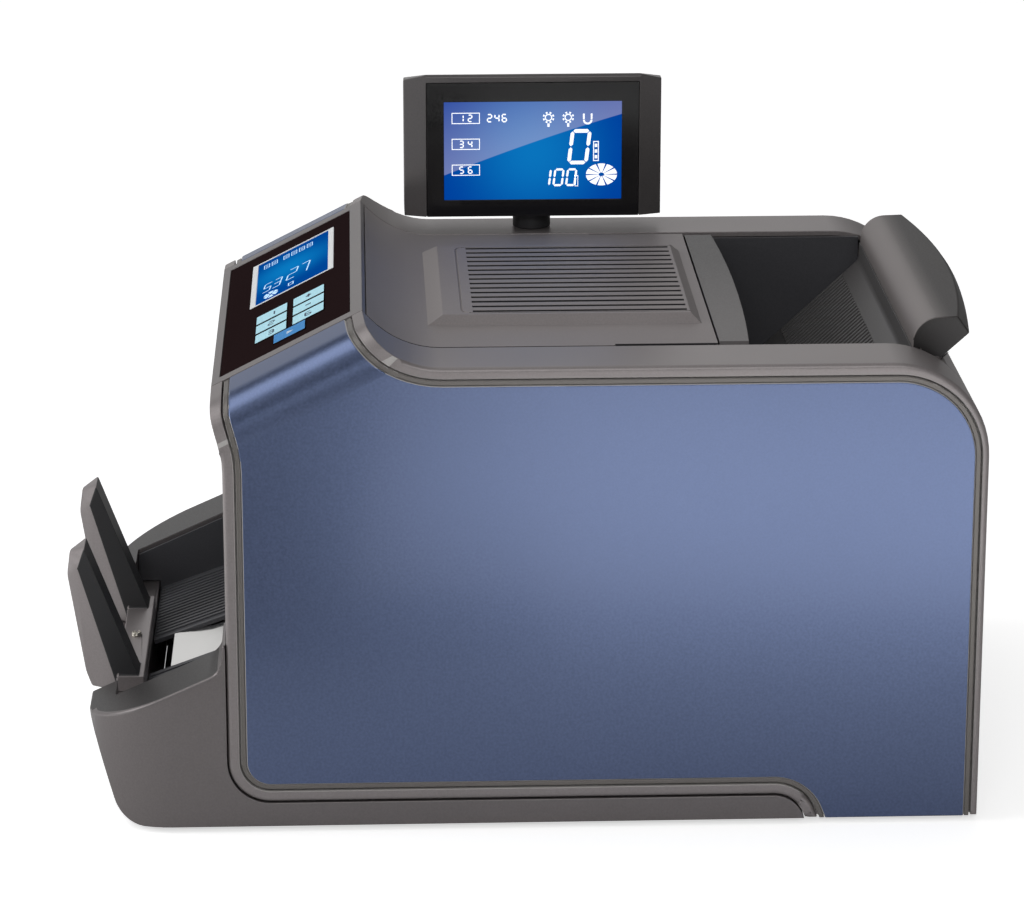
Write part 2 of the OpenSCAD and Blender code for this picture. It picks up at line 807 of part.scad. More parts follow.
module side_shell() {
    ledge_w = 5;
    ledge_t = 3;
    under = rim_z - wall;
    difference() {
        intersection() {
            along_x(in_w, half_w) side_outline();
            shoulder();
        }
        difference() {
            along_x(in_w - 1, half_w + 1) border(band_w);
            shoulder(recess_d);
        }
        intersection() {
            along_x(in_w - 1, half_w) above_floor(wall) polygon(inset(shell_pts, shell_r, wall));
            shoulder(recess_d + wall);
        }
    }
    // Ledge under the lid, let into the rim
    along_y(sweep_foot[0] + sweep_r, lid_rear - ledge_t) polygon([[in_w - ledge_w, under - ledge_t],
        [in_w + ledge_w, under - ledge_t], [in_w + ledge_w, under + wall / 2], [in_w, under + wall / 2],
        [in_w, under], [in_w - ledge_w, under]]);
}

module side_shell_right() {
    color(gunmetal) side_shell();
}

module side_shell_left() {
    color(gunmetal) difference() {
        mirror([1, 0, 0]) side_shell();
        translate([post_x, post_y, rim_z - 2 * wall]) cylinder(d = spigot_d + 2 * seam, h = far);
    }
}

module side_trim() {
    color(trim_grey) difference() {
        intersection() {
            along_x(in_w, half_w) difference() {
                border(band_w + groove_w);
                border(band_w + groove_w + trim_w);
            }
            shoulder(trim_sink);
        }
        shoulder(recess_d - bond);
    }
}

module side_trim_right() {
    side_trim();
}

module side_trim_left() {
    mirror([1, 0, 0]) side_trim();
}

module side_panel() {
    color(blue) difference() {
        intersection() {
            along_x(in_w, half_w) border(panel_in);
            shoulder();
        }
        shoulder(recess_d - bond);
    }
}

module side_panel_right() {
    side_panel();
}

module side_panel_left() {
    mirror([1, 0, 0]) side_panel();
}

module front_fascia() {
    color(gunmetal) skin(nose[0] - 1, front_y + wall + nose_drop, mouth_top, nose[1] - nose_drop);
}

// Console

module slope_plate(x, s, w, l, z0, z1) {
    on_slope(x, s, z0) translate([-w / 2, -l / 2, 0]) cube([w, l, z1 - z0]);
}

module console_housing() {
    seat = overlay_sink + overlay_t;
    shelf = 3;
    color(gunmetal) difference() {
        union() {
            skin(nose[0] - 1, ridge_y + shelf / 2, nose[1] - nose_drop + seam, ridge_z + 1, wall + seat);
            both_sides() along_x(mid_w - shelf, mid_w) difference() {
                side_outline();
                translate([ridge_y + shelf / 2, 0]) square(far);
                translate([-far, nose[1] - nose_drop + seam - far]) square([2 * far, far]);
            }
        }
        slope_plate(0, overlay_s, 2 * overlay_w, overlay_l, -seat, far);
        slope_plate(0, overlay_s, 2 * (overlay_w - shelf), overlay_l - 2 * shelf, -far / 10, 0);
    }
}

module key_places() {
    for (c = [0:1], r = [0:2]) on_slope(key_x + r * key_pitch, key_s[c]) children();
    on_slope(start_x, start_s) children();
}

module lcd_window(extra, z0, z1) {
    slope_plate(lcd_x, lcd_s, lcd_w + 2 * (lcd_side + extra), lcd_l + 2 * (lcd_end + extra), z0, z1);
}

module console_overlay() {
    top = -overlay_sink;
    color(black) difference() {
        slope_plate(0, overlay_s, 2 * (overlay_w - seam / 2), overlay_l - seam, top - overlay_t, top);
        lcd_window(bond, -far / 10, 1);
        for (c = [0:1], r = [0:2])
            slope_plate(key_x + r * key_pitch, key_s[c], key_w + 2 * key_gap, key_l + 2 * key_gap, -far / 10, 1);
        slope_plate(start_x, start_s, start_w + 2 * key_gap, key_l + 2 * key_gap, -far / 10, 1);
    }
}

lcd_depth = 6;

module console_lcd_frame() {
    color("white") difference() {
        lcd_window(0, -lcd_depth, -overlay_sink);
        slope_plate(lcd_x, lcd_s, lcd_w, lcd_l, -lcd_depth + board_t, 1);
    }
}

module console_lcd() {
    color([0.05, 0.35, 0.65])
        slope_plate(lcd_x, lcd_s, lcd_w - bond, lcd_l - bond, -lcd_depth + board_t, -overlay_sink - bond);
}

module key_cap(w) {
    under = -overlay_sink - overlay_t - key_gap;
    translate([-w / 2, -key_l / 2, under]) cube([w, key_l, key_h - overlay_sink - under]);
    translate([-w / 2 - key_lip, -key_l / 2 - key_lip, under - key_foot])
        cube([w + 2 * key_lip, key_l + 2 * key_lip, key_foot]);
}

module key_at(c, r) {
    color([0.63, 0.82, 0.96]) on_slope(key_x + r * key_pitch, key_s[c]) key_cap(key_w);
}

module key_1() {
    key_at(0, 0);
}

module key_2() {
    key_at(0, 1);
}

module key_3() {
    key_at(0, 2);
}

module key_4() {
    key_at(1, 0);
}

module key_5() {
    key_at(1, 1);
}

module key_6() {
    key_at(1, 2);
}

module key_start() {
    color([0.2, 0.48, 0.78]) on_slope(start_x, start_s) key_cap(start_w);
}

module console_board() {
    under = overlay_sink + overlay_t + key_gap + key_foot + key_travel;
    top = -under - bond;
    dome_d = 6;
    color(board_green) difference() {
        slope_plate(0, overlay_s, 2 * (overlay_w - 4), overlay_l - 8, top - board_t, top);
        lcd_window(seam, -far / 10, 1);
    }
    color(steel) key_places() translate([0, 0, top]) cylinder(d = dome_d, h = bond / 2);
}

// Lid

module louvre_block(d, h) {
    rear = lid_rear - louvre_margin;
    intersection() {
        along_x(-far, far) polygon([[louvre_front + d, rim_z - 1], [rear - d, rim_z - 1], [rear - d, rim_z],
            [rear - bevel_rear - d, rim_z + h], [louvre_front + bevel_front + d, rim_z + h],
            [louvre_front + d, rim_z]]);
        along_y(-far, far) polygon([[-louvre_half + d, rim_z - 1], [louvre_half - d, rim_z - 1],
            [louvre_half - d, rim_z], [louvre_half - bevel_side - d, rim_z + h],
            [bevel_side + d - louvre_half, rim_z + h], [d - louvre_half, rim_z]]);
    }
}

module top_cover() {
    first = -(slots - 1) / 2 * slot_pitch;
    y0 = louvre_front + bevel_front + slot_front;
    y1 = lid_rear - louvre_margin - bevel_rear - slot_rear;
    line_x = slot_w / 2 - first + line_side;
    // Outline of the fine line round the slots
    frame = [[-line_x, y0 - line_front], [line_x, y0 - line_front], [line_x, far], [-line_x, far]];
    frame_r = [line_front, line_front, 0, 0];
    color(gunmetal) difference() {
        union() {
            skin(ridge_y + 1.5 + seam, lid_rear, rim_z - wall, ridge_z + 1, wall, mid_w - lid_gap);
            louvre_block(0, louvre_h);
        }
        both_sides() block([mid_w - lid_notch, lid_notch_y, rim_z - 2 * wall], [in_w, lid_rear + 1, far]);
        translate([0, 0, rim_z + louvre_h - line_w]) linear_extrude(far) difference() {
            polygon(rounded(frame, frame_r));
            polygon(inset(frame, frame_r, line_w));
        }
        translate([0, 0, -slat_t]) louvre_block(slat_t, louvre_h);
        block([-louvre_half + 2 * slat_t, louvre_front + 2 * slat_t, rim_z - wall - 1],
            [louvre_half - 2 * slat_t, lid_rear - louvre_margin - 2 * slat_t, rim_z - slat_t / 2]);
        for (k = [0:slots - 1])
            block([first + k * slot_pitch - slot_w / 2, y0, rim_z], [first + k * slot_pitch + slot_w / 2, y1, far]);
    }
}

// Hopper

// Everything in front of a line at y that bows back by crown between its ends
module crowned(y, half, crown) {
    n = 24;
    bow = [for (k = [0:n]) let (u = 1 - 2 * k / n) [u * half, y + crown * (1 - u * u)]];
    translate([0, 0, -far]) linear_extrude(2 * far)
        polygon(concat([[-half - 1, -far], [half + 1, -far], [half + 1, y]], bow, [[-half - 1, y]]));
}

module hopper_front_plate() {
    end = in_w - strip_end;
    flat = end - strip_chamfer;
    edge_z = rim_z - strip_chamfer;
    color(gunmetal) intersection() {
        skin(lid_rear + 2 * seam, lid_rear + strip_w + strip_crown, rim_z - wall, rim_z + 1);
        crowned(lid_rear + strip_w, mid_w, strip_crown);
        along_y(-far, far) polygon([[-end, 0], [end, 0], [end, edge_z], [flat, rim_z], [-flat, rim_z],
            [-end, edge_z]]);
    }
}

module hopper_well() {
    top = rim_z - wall;
    front = lid_rear + 2 * seam;
    front_t = 2;
    gate = ramp_z + gate_h;
    below = beside(ramp_path, [0, ramp_bend_r, 0], ramp_t + seam);
    color(black) {
        both_sides() along_x(mid_w - well_t, mid_w) intersection() {
            polygon(concat(below, [[front, ramp_z - ramp_t], [front, top], [below[0][0], top]]));
            square([ramp_end[0] - seam, far]);
        }
        block([-mid_w, front, gate], [mid_w, front + front_t, top]);
    }
}

module hopper_ramp() {
    radii = [0, ramp_bend_r, 0];
    rib_from = ramp_foot + polar(ramp_smooth, ramp_angle);
    rib_to = rib_from + polar(ramp_rib_l, ramp_angle);
    slot_room = 1;
    color(black) difference() {
        union() {
            along_x(-ramp_w, ramp_w) strip(ramp_path, radii, ramp_t);
            for (k = [-ramp_rib_half:ramp_rib_half]) translate([k * ramp_rib_pitch, 0, 0])
                along_x(-ramp_rib_w / 2, ramp_rib_w / 2) rib([rib_to, rib_from], ramp_rib_h, ramp_t);
        }
        for (x = pickup_x) on_axis(pickup_at, x - roller_w / 2 - slot_room)
            cylinder(r = pickup_r + slot_room, h = roller_w + 2 * slot_room);
    }
}

module hopper_guide() {
    half = in_w - guide_gap;
    foot = ramp_end + [0, seam];
    top = rim_z + guide_h;
    step = foot[0] + ramp_t + 2 * seam;
    low = [foot[0] + guide_d / 2.4, foot[1] - 6];
    edge = [foot[0] + guide_d, rim_z + guide_edge];
    beyond = low + 1.4 * (edge - low);
    pts = [foot, [step, foot[1]], [step, low[1] + 1], low, beyond, [beyond[0], top], [foot[0], top - 1]];
    flange_t = 2;
    color(gunmetal) {
        intersection() {
            along_x(-half, half) polygon(rounded(pts, [0, 0, 0, 1, 0, 0, guide_r]));
            translate([0, edge[0], edge[1]]) rotate([guide_back, 0, 0]) crowned(0, half, guide_crown);
        }
        // Flange that closes the gaps at the guide's ends
        along_x(-mid_w, mid_w) polygon([[step, low[1] + 1], low, low + [flange_t, flange_t],
            [step, low[1] + 1 + flange_t]]);
    }
}

// Rear

screw_at = [for (x = [-1, 1], z = [0, 1]) [x * (mid_w - screw_inset), inlet_z + z * screw_rise]];

module rear_cover() {
    foot = bottom_top + seam;
    shut_y = ramp_end[0] + guide_d / 2.4 + 2;
    color(gunmetal) difference() {
        skin(shut_y, rear_y + 1, foot, ramp_end[1] - 5);
        translate([inlet_x, 0, inlet_z]) along_y(rear_y - 2 * wall, rear_y + 1)
            square([inlet_w + seam, inlet_h + seam], center = true);
        translate([inlet_x + switch_dx, 0, inlet_z]) along_y(rear_y - 2 * wall, rear_y + 1)
            square([switch_w + seam, switch_h + seam], center = true);
        for (p = screw_at) translate([p[0], rear_y + 1, p[1]]) rotate([90, 0, 0]) {
            cylinder(d = screw_head_d + seam, h = 1 + wall / 2);
            cylinder(d = screw_head_d / 2 + seam, h = far / 20);
        }
    }
}

module case_screws() {
    color(dark_steel) for (p = screw_at) translate([p[0], rear_y - bond, p[1]]) rotate([90, 0, 0]) {
        cylinder(d = screw_head_d, h = wall / 2 - bond);
        cylinder(d = screw_head_d / 2, h = wall + screw_l);
    }
}

module power_inlet() {
    hole_w = inlet_w - 2 * inlet_wall;
    hole_h = inlet_h - 2 * inlet_wall;
    pin = [2, 4];
    color(black) translate([inlet_x, 0, inlet_z]) difference() {
        along_y(rear_y - inlet_depth - inlet_wall, rear_y) square([inlet_w, inlet_h], center = true);
        along_y(rear_y - inlet_depth, rear_y + 1) polygon([[-hole_w / 2, -hole_h / 2],
            [hole_w / 2, -hole_h / 2], [hole_w / 2, hole_h / 4], [hole_w / 3, hole_h / 2],
            [-hole_w / 3, hole_h / 2], [-hole_w / 2, hole_h / 4]]);
    }
    color(steel) translate([inlet_x, 0, inlet_z]) for (p = [[-7, -3], [0, 3], [7, -3]])
        translate(concat(p[0], 0, p[1])) along_y(rear_y - inlet_depth, rear_y - inlet_depth + pin_len)
            square(pin, center = true);
}

switch_depth = 14;
bezel_wall = 1.8;
rocker_y = rear_y - 5;

module switch_bezel() {
    axle = 2;
    color(black) translate([inlet_x + switch_dx, 0, inlet_z]) difference() {
        along_y(rear_y - switch_depth, rear_y) square([switch_w, switch_h], center = true);
        along_y(rear_y - switch_depth + bezel_wall, rear_y + 1)
            square([switch_w - 2 * bezel_wall, switch_h - 2 * bezel_wall], center = true);
        translate([-switch_w / 2 - 1, rocker_y, 0]) rotate([0, 90, 0])
            cylinder(r = axle / 2 + run_gap, h = switch_w + 2);
    }
}

module power_rocker() {
    axle = 2;
    w = switch_w - 2 * bezel_wall - 2 * key_gap;
    h = switch_h - 2 * bezel_wall - 4 * key_gap;
    thick = 3.2;
    color(black) translate([inlet_x + switch_dx, rocker_y, inlet_z]) rotate([rocker_swing, 0, 0]) {
        along_x(-w / 2, w / 2) polygon([[-thick / 2, -h / 2], [thick / 2, -h / 2 + 1], [thick / 2 + 1, -h / 4],
            [thick / 2, 0], [thick / 2 + 1, h / 4], [thick / 2, h / 2 - 1], [-thick / 2, h / 2]]);
        translate([-switch_w / 2 + bezel_wall / 2, 0, 0]) rotate([0, 90, 0])
            cylinder(d = axle, h = switch_w - bezel_wall);
    }
}

// Display

module display_socket() {
    top = rim_z - wall;
    bush_t = 4;
    color(black) translate([post_x, post_y, top - spigot_l + wall]) difference() {
        cylinder(d = spigot_d + 2 * bush_t, h = spigot_l - wall);
        translate([0, 0, -1]) cylinder(r = spigot_d / 2 + run_gap, h = far);
    }
}

module display_post() {
    color(black) translate([post_x, post_y, rim_z + rest_gap]) {
        cylinder(d = post_d, h = post_h - rest_gap);
        translate([0, 0, -spigot_l]) cylinder(d = spigot_d, h = spigot_l);
    }
}

module display_plan(d) {
    h = disp_w / 2;
    back = disp_d / 2;
    polygon([[back - d, wing_w - h], [back - d, h - wing_w], [back - wing_d - d, h - d], [-back + 6 + d, h - d],
        [-back + d, h - wing_w], [-back + d, wing_w - h], [-back + 6 + d, d - h], [back - wing_d - d, d - h]]);
}

module display_face(w, h, up, x0, x1) {
    translate([face_x, post_y, disp_z + up]) along_x(x0, x1) translate([-w / 2, 0]) square([w, h]);
}

module display_housing() {
    edge = 1.2;
    half = disp_w / 2;
    window_w = disp_w - 2 * wing_w;
    window_h = disp_h - disp_top;
    pocket = window_sink + window_t;
    top = disp_z + disp_h;
    color(gunmetal) difference() {
        translate([post_x, post_y, 0]) intersection() {
            translate([0, 0, disp_z]) linear_extrude(disp_h) display_plan(0);
            along_y(-far, far) polygon([[-disp_d / 2, disp_z], [disp_d / 2, disp_z], [disp_d / 2, top - edge],
                [disp_d / 2 - edge, top], [-disp_d / 2, top - disp_fall]]);
            along_x(-far, far) polygon([[-half, disp_z], [half, disp_z], [half, top - wing_fall],
                [half - wing_w, top], [wing_w - half, top], [-half, top - wing_fall]]);
        }
        display_face(window_w + seam, window_h + 1 + bond, -1, -pocket, far);
        display_face(disp_lcd_w + seam, disp_lcd_h + seam, disp_lcd_up - seam / 2, -pocket - 2 * wall, 0);
        translate([post_x, post_y, disp_z + wall]) linear_extrude(disp_h - disp_fall - 2 * wall)
            intersection() {
                display_plan(wall);
                translate([-far, -window_w / 2 + wall])
                    square([far + disp_d / 2 - pocket - wall, window_w - 2 * wall]);
            }
    }
}

module display_window() {
    color(black) difference() {
        display_face(disp_w - 2 * wing_w, disp_h - disp_top, 0, -window_sink - window_t, -window_sink);
        display_face(disp_lcd_w + bond, disp_lcd_h + bond, disp_lcd_up - bond / 2, -far, far);
    }
}

module display_lcd() {
    color([0.05, 0.35, 0.65])
        display_face(disp_lcd_w, disp_lcd_h, disp_lcd_up, -window_sink - window_t - 1, -window_sink - bond);
}

// Mechanism

bores = [pickup_at, feed_at, transport_at, pinch_at, stacker_at];
rods = [[motor_at[0] + 48, 30], [-60, 30], [-55, 130], [30, 165]];

module mech_plate() {
    clear = 8;
    front = floor_rear + back_lean + floor_t + 1;
    under_lid = rim_z - wall - clear;
    low = ramp_path[2] - [0, clear + ramp_t];
    high = ramp_foot + polar(ramp_len * 0.64, ramp_angle) + [clear, -clear - ramp_t];
    difference() {
        along_x(plate_x, plate_x + plate_t) polygon([[front + 30, bottom_top], [high[0], bottom_top], high,
            low + [clear, 0], [feed_at[0] - 4, under_lid - 50], [feed_at[0] - 24, under_lid],
            [sweep_foot[0] + sweep_r, under_lid], [ridge_y, under_lid - 20], [front, stacker_at[1] + 20],
            [front, stacker_at[1] - 18]]);
        for (p = bores) on_axis(p, 0) cylinder(r = shaft_d / 2 + run_gap, h = far);
        on_axis(motor_at, 0) cylinder(d = shaft_d + 2, h = far);
    }
}

module mech_plate_right() {
    color(dark_steel) mech_plate();
}

module mech_plate_left() {
    color(dark_steel) mirror([1, 0, 0]) mech_plate();
}

module tie_rods() {
    color(steel) for (p = rods) on_axis(p, -plate_x) cylinder(d = rod_d, h = 2 * plate_x);
}

// Shaft through both plates, with pulleys in the lanes listed
module driven_shaft(at, lanes) {
    end = len(lanes) > 0 ? pulley_x + (max(lanes) + 1) * lane : shaft_stub;
    color(steel) on_axis(at, -shaft_stub) cylinder(d = shaft_d, h = end + shaft_stub);
    color(black) for (n = lanes) on_axis(at, pulley_x + n * lane) cylinder(r = pulley_r, h = belt_w);
}

module roller_set(at, places, r, w) {
    color(rubber) for (x = places) on_axis(at, x - w / 2) difference() {
        cylinder(r = r, h = w);
        translate([0, 0, -1]) cylinder(d = shaft_d, h = w + 2);
    }
}

module pickup_shaft() {
    driven_shaft(pickup_at, [2]);
}

module pickup_rollers() {
    roller_set(pickup_at, pickup_x, pickup_r, roller_w);
}

module feed_shaft() {
    driven_shaft(feed_at, [0, 1, 2]);
}

module feed_rollers() {
    roller_set(feed_at, roller_x, roller_r, roller_w);
}

module transport_shaft() {
    driven_shaft(transport_at, [1, 2]);
}

module transport_rollers() {
    roller_set(transport_at, roller_x, roller_r, roller_w);
}

module pinch_rollers() {
    color(steel) on_axis(pinch_at, -shaft_stub) cylinder(d = shaft_d, h = 2 * shaft_stub);
    roller_set(pinch_at, roller_x, pinch_r, roller_w);
}

module stacker_shaft() {
    driven_shaft(stacker_at, [2]);
}

module stacker_wheels() {
    hub_r = shaft_d / 2 + 5;
    // Vanes curve back from the hub to the rim
    bow = wheel_r * 0.6;
    color(blue) for (x = wheel_x) on_axis(stacker_at, x - wheel_w / 2) difference() {
        linear_extrude(wheel_w) {
            circle(r = hub_r);
            intersection() {
                circle(r = wheel_r);
                for (k = [0:wheel_vanes - 1]) rotate(k * 360 / wheel_vanes) translate([hub_r - 1, bow]) difference() {
                    circle(r = bow + vane_t / 2);
                    circle(r = bow - vane_t / 2);
                    translate([-far, -far]) square([far, 2 * far]);
                    translate([-1, 0]) square([far, far]);
                }
            }
        }
        translate([0, 0, -1]) cylinder(d = shaft_d, h = wheel_w + 2);
    }
}

module drive_motor() {
    boss_r = 10;
    color(dark_steel) on_axis(motor_at, plate_x - motor_l) difference() {
        union() {
            cylinder(r = motor_r, h = motor_l - 4);
            translate([0, 0, motor_l - 4]) cylinder(r = boss_r, h = 4);
        }
        translate([0, 0, motor_l / 2]) cylinder(r = shaft_d / 2 + run_gap, h = far);
    }
}

module motor_pulley() {
    from = plate_x - motor_l / 2 + 1;
    color(steel) on_axis(motor_at, from) cylinder(d = shaft_d, h = pulley_x + belt_w - from);
    color(black) on_axis(motor_at, pulley_x) cylinder(r = small_pulley_r, h = belt_w);
}

// Outline round two pulleys of radii ra and rb, grown by d
module belt_outline(a, ra, b, rb, d) {
    span = norm(b - a);
    lean = acos((ra - rb) / span);
    way = atan2(b[1] - a[1], b[0] - a[0]);
    translate(a) circle(r = ra + d);
    translate(b) circle(r = rb + d);
    polygon([a + polar(ra + d, way + lean), a + polar(ra + d, way - lean), b + polar(rb + d, way - lean),
        b + polar(rb + d, way + lean)]);
}

module belt(a, ra, b, rb, n) {
    along_x(pulley_x + n * lane, pulley_x + n * lane + belt_w) difference() {
        belt_outline(a, ra, b, rb, belt_gap + belt_t);
        belt_outline(a, ra, b, rb, belt_gap);
    }
}

module drive_belts() {
    color(rubber) {
        belt(motor_at, small_pulley_r, feed_at, pulley_r, 0);
        belt(feed_at, pulley_r, transport_at, pulley_r, 1);
        belt(feed_at, pulley_r, pickup_at, pulley_r, 2);
        belt(transport_at, pulley_r, stacker_at, pulley_r, 2);
    }
}

module sensor_bridge() {
    y0 = transport_at[0] + roller_r + bridge_gap;
    z0 = transport_at[1] + roller_r + bridge_gap;
    color(black) difference() {
        along_x(-plate_x, plate_x) polygon(rounded([[y0, z0], [y0 + bridge_d, z0], [y0 + bridge_d, z0 + bridge_h],
            [y0, z0 + bridge_h]], bridge_d / 16 * [2, 2, 1, 1]));
        for (k = [-2:2]) translate([k * lens_pitch, y0 + bridge_d / 2, z0 - lens_d / 8])
            cylinder(d = lens_d, h = lens_d / 4);
    }
}

board_y = [-40, 80];
board_z = [60, 150];
standoff = 4;

module main_board() {
    x = -plate_x - plate_t - standoff;
    chips = [[-20, 80, 16, 16], [12, 84, 24, 12], [52, 96, 14, 14], [-26, 118, 30, 10], [24, 122, 40, 8]];
    chip_h = 2;
    color(board_green) block([x - board_t, board_y[0], board_z[0]], [x, board_y[1], board_z[1]]);
    color(black) for (c = chips)
        block([x - board_t - chip_h, c[0], c[1]], [x - board_t, c[0] + c[2], c[1] + c[3]]);
    color(steel) for (y = [board_y[0] + 5, board_y[1] - 5], z = [board_z[0] + 5, board_z[1] - 5])
        on_axis([y, z], x) cylinder(d = 6, h = standoff);
}

module power_supply() {
    core = supply_size;
    at = [inlet_x, supply_y, bottom_top];
    color(dark_steel) translate(at - [core[0] / 2, core[1] / 2, 0]) cube(core);
    color("orange") both_sides_of(at[0]) translate([at[0] + core[0] / 2, at[1] - core[1] / 3, bottom_top + coil_t])
        cube([coil_t, core[1] * 2 / 3, core[2] - 2 * coil_t]);
}

module both_sides_of(x) {
    children();
    translate([2 * x, 0, 0]) mirror([1, 0, 0]) children();
}

base_tray();
bottom_plate();
rubber_feet();
stacker_floor();
chute_plate();
note_stop();
note_stop_screw();
side_shell_right();
side_shell_left();
side_trim_right();
side_trim_left();
side_panel_right();
side_panel_left();
front_fascia();
console_housing();
console_overlay();
console_lcd_frame();
console_lcd();
key_1();
key_2();
key_3();
key_4();
key_5();
key_6();
key_start();
console_board();
top_cover();
hopper_front_plate();
hopper_well();
hopper_ramp();
hopper_guide();
rear_cover();
case_screws();
power_inlet();
switch_bezel();
power_rocker();
display_socket();
display_post();
display_housing();
display_window();
display_lcd();
mech_plate_right();
mech_plate_left();
tie_rods();
pickup_shaft();
pickup_rollers();
feed_shaft();
feed_rollers();
transport_shaft();
transport_rollers();
pinch_rollers();
stacker_shaft();
stacker_wheels();
drive_motor();
motor_pulley();
drive_belts();
sensor_bridge();
main_board();
power_supply();
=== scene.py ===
"""Looks of a banknote counter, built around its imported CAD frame.

Lengths are in metres in the frame of the CAD model: +X is the operator's right, -Y is the front, +Z is up.
Sizes that a maker would quote are written in millimetres and multiplied by MM.
"""

from __future__ import annotations

import json
import logging
import math
from dataclasses import dataclass, field, replace
from enum import Enum
from typing import Any, Callable, Iterable

import bmesh
import bpy
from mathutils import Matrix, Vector

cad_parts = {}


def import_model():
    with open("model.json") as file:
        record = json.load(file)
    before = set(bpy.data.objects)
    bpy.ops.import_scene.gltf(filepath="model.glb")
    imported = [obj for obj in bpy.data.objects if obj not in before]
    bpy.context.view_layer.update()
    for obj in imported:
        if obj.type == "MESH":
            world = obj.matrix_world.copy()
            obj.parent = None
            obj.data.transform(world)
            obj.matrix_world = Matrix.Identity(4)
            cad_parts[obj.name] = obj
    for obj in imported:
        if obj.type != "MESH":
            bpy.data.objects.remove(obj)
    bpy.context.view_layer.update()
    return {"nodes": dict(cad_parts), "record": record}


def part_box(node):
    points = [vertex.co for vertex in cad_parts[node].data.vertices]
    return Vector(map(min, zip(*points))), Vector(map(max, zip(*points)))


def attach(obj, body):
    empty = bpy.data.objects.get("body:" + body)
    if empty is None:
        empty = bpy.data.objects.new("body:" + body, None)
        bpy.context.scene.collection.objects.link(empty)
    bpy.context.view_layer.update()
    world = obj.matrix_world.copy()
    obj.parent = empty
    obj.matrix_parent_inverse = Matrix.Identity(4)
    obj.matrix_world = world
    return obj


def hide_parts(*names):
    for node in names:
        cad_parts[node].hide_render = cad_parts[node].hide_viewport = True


LOG = logging.getLogger("banknote_counter")
MM = 0.001
# A bend sharper than this is an edge
SHARP_TURN = math.radians(28)
# Neighbouring faces that turn by less than this are one flat face
FLAT_TURN = math.radians(0.6)
# Corners nearer than this, in metres, are one corner
SAME_CORNER = 2e-6
# Noise values at which a pattern reaches its least and its most
NOISE_LOW, NOISE_HIGH = 0.3, 0.7
# How far a paint's roughness strays with its grain, and a grain's height as a share of its width
ROUGH_STRAY, GRAIN_HEIGHT = 0.04, 0.2
# Shares of a face's normal along an axis: above the first it looks that way, below the next it leans away,
# and below the last it is edge-on
FACING, LEANING, EDGE_ON = 0.9, 0.5, 0.05
# Strength of a screen's backlight
BACKLIGHT = 0.92

Shape = list[tuple[float, float]]
Point = tuple[float, float, float]
Tree = bpy.types.NodeTree
Node = bpy.types.Node
Socket = bpy.types.NodeSocket


def linear(colour: str) -> tuple[float, float, float, float]:
    """Turns an sRGB hex colour into linear light.

    Args:
        colour: six hex digits, such as "625e5e".

    Returns:
        Red, green, blue and an alpha of 1, in linear light.
    """
    parts = [int(colour[i:i + 2], 16) / 255 for i in (0, 2, 4)]
    r, g, b = [c / 12.92 if c <= 0.04045 else ((c + 0.055) / 1.055) ** 2.4 for c in parts]
    return (r, g, b, 1.0)


def add(tree: Tree, kind: str, inputs: dict[Any, Any] | None = None, **settings: Any) -> Node:
    """Adds a node with its settings and links.

    Args:
        tree: the tree that gets the node.
        kind: the node's type name.
        inputs: values or output sockets by the input's name or number.
        settings: the node's own properties.

    Returns:
        The new node.
    """
    node = tree.nodes.new(kind)
    for name, value in settings.items():
        setattr(node, name, value)
    for key, value in (inputs or {}).items():
        if isinstance(value, Socket):
            tree.links.new(value, node.inputs[key])
        else:
            node.inputs[key].default_value = value
    return node


class Edge(Enum):
    """How far an edge is rounded, in millimetres. A sharp one stays as it is."""

    SHARP = 0.0
    CRISP = 0.2
    FINE = 0.35
    SOFT = 0.7


@dataclass(frozen=True)
class Finish:
    """A material that is built once under its name."""

    name: str

    def material(self) -> bpy.types.Material:
        """Builds the material when it is first asked for.

        Returns:
            The material.
        """
        done = bpy.data.materials.get(self.name)
        if done:
            return done
        mat = bpy.data.materials.new(self.name)
        mat.use_nodes = True
        self.fill(mat.node_tree, mat.node_tree.nodes["Principled BSDF"])
        return mat

    def fill(self, tree: Tree, shader: Node) -> None:
        """Sets up the nodes of a new material.

        Args:
            tree: the material's tree.
            shader: its main shader.
        """
        raise NotImplementedError


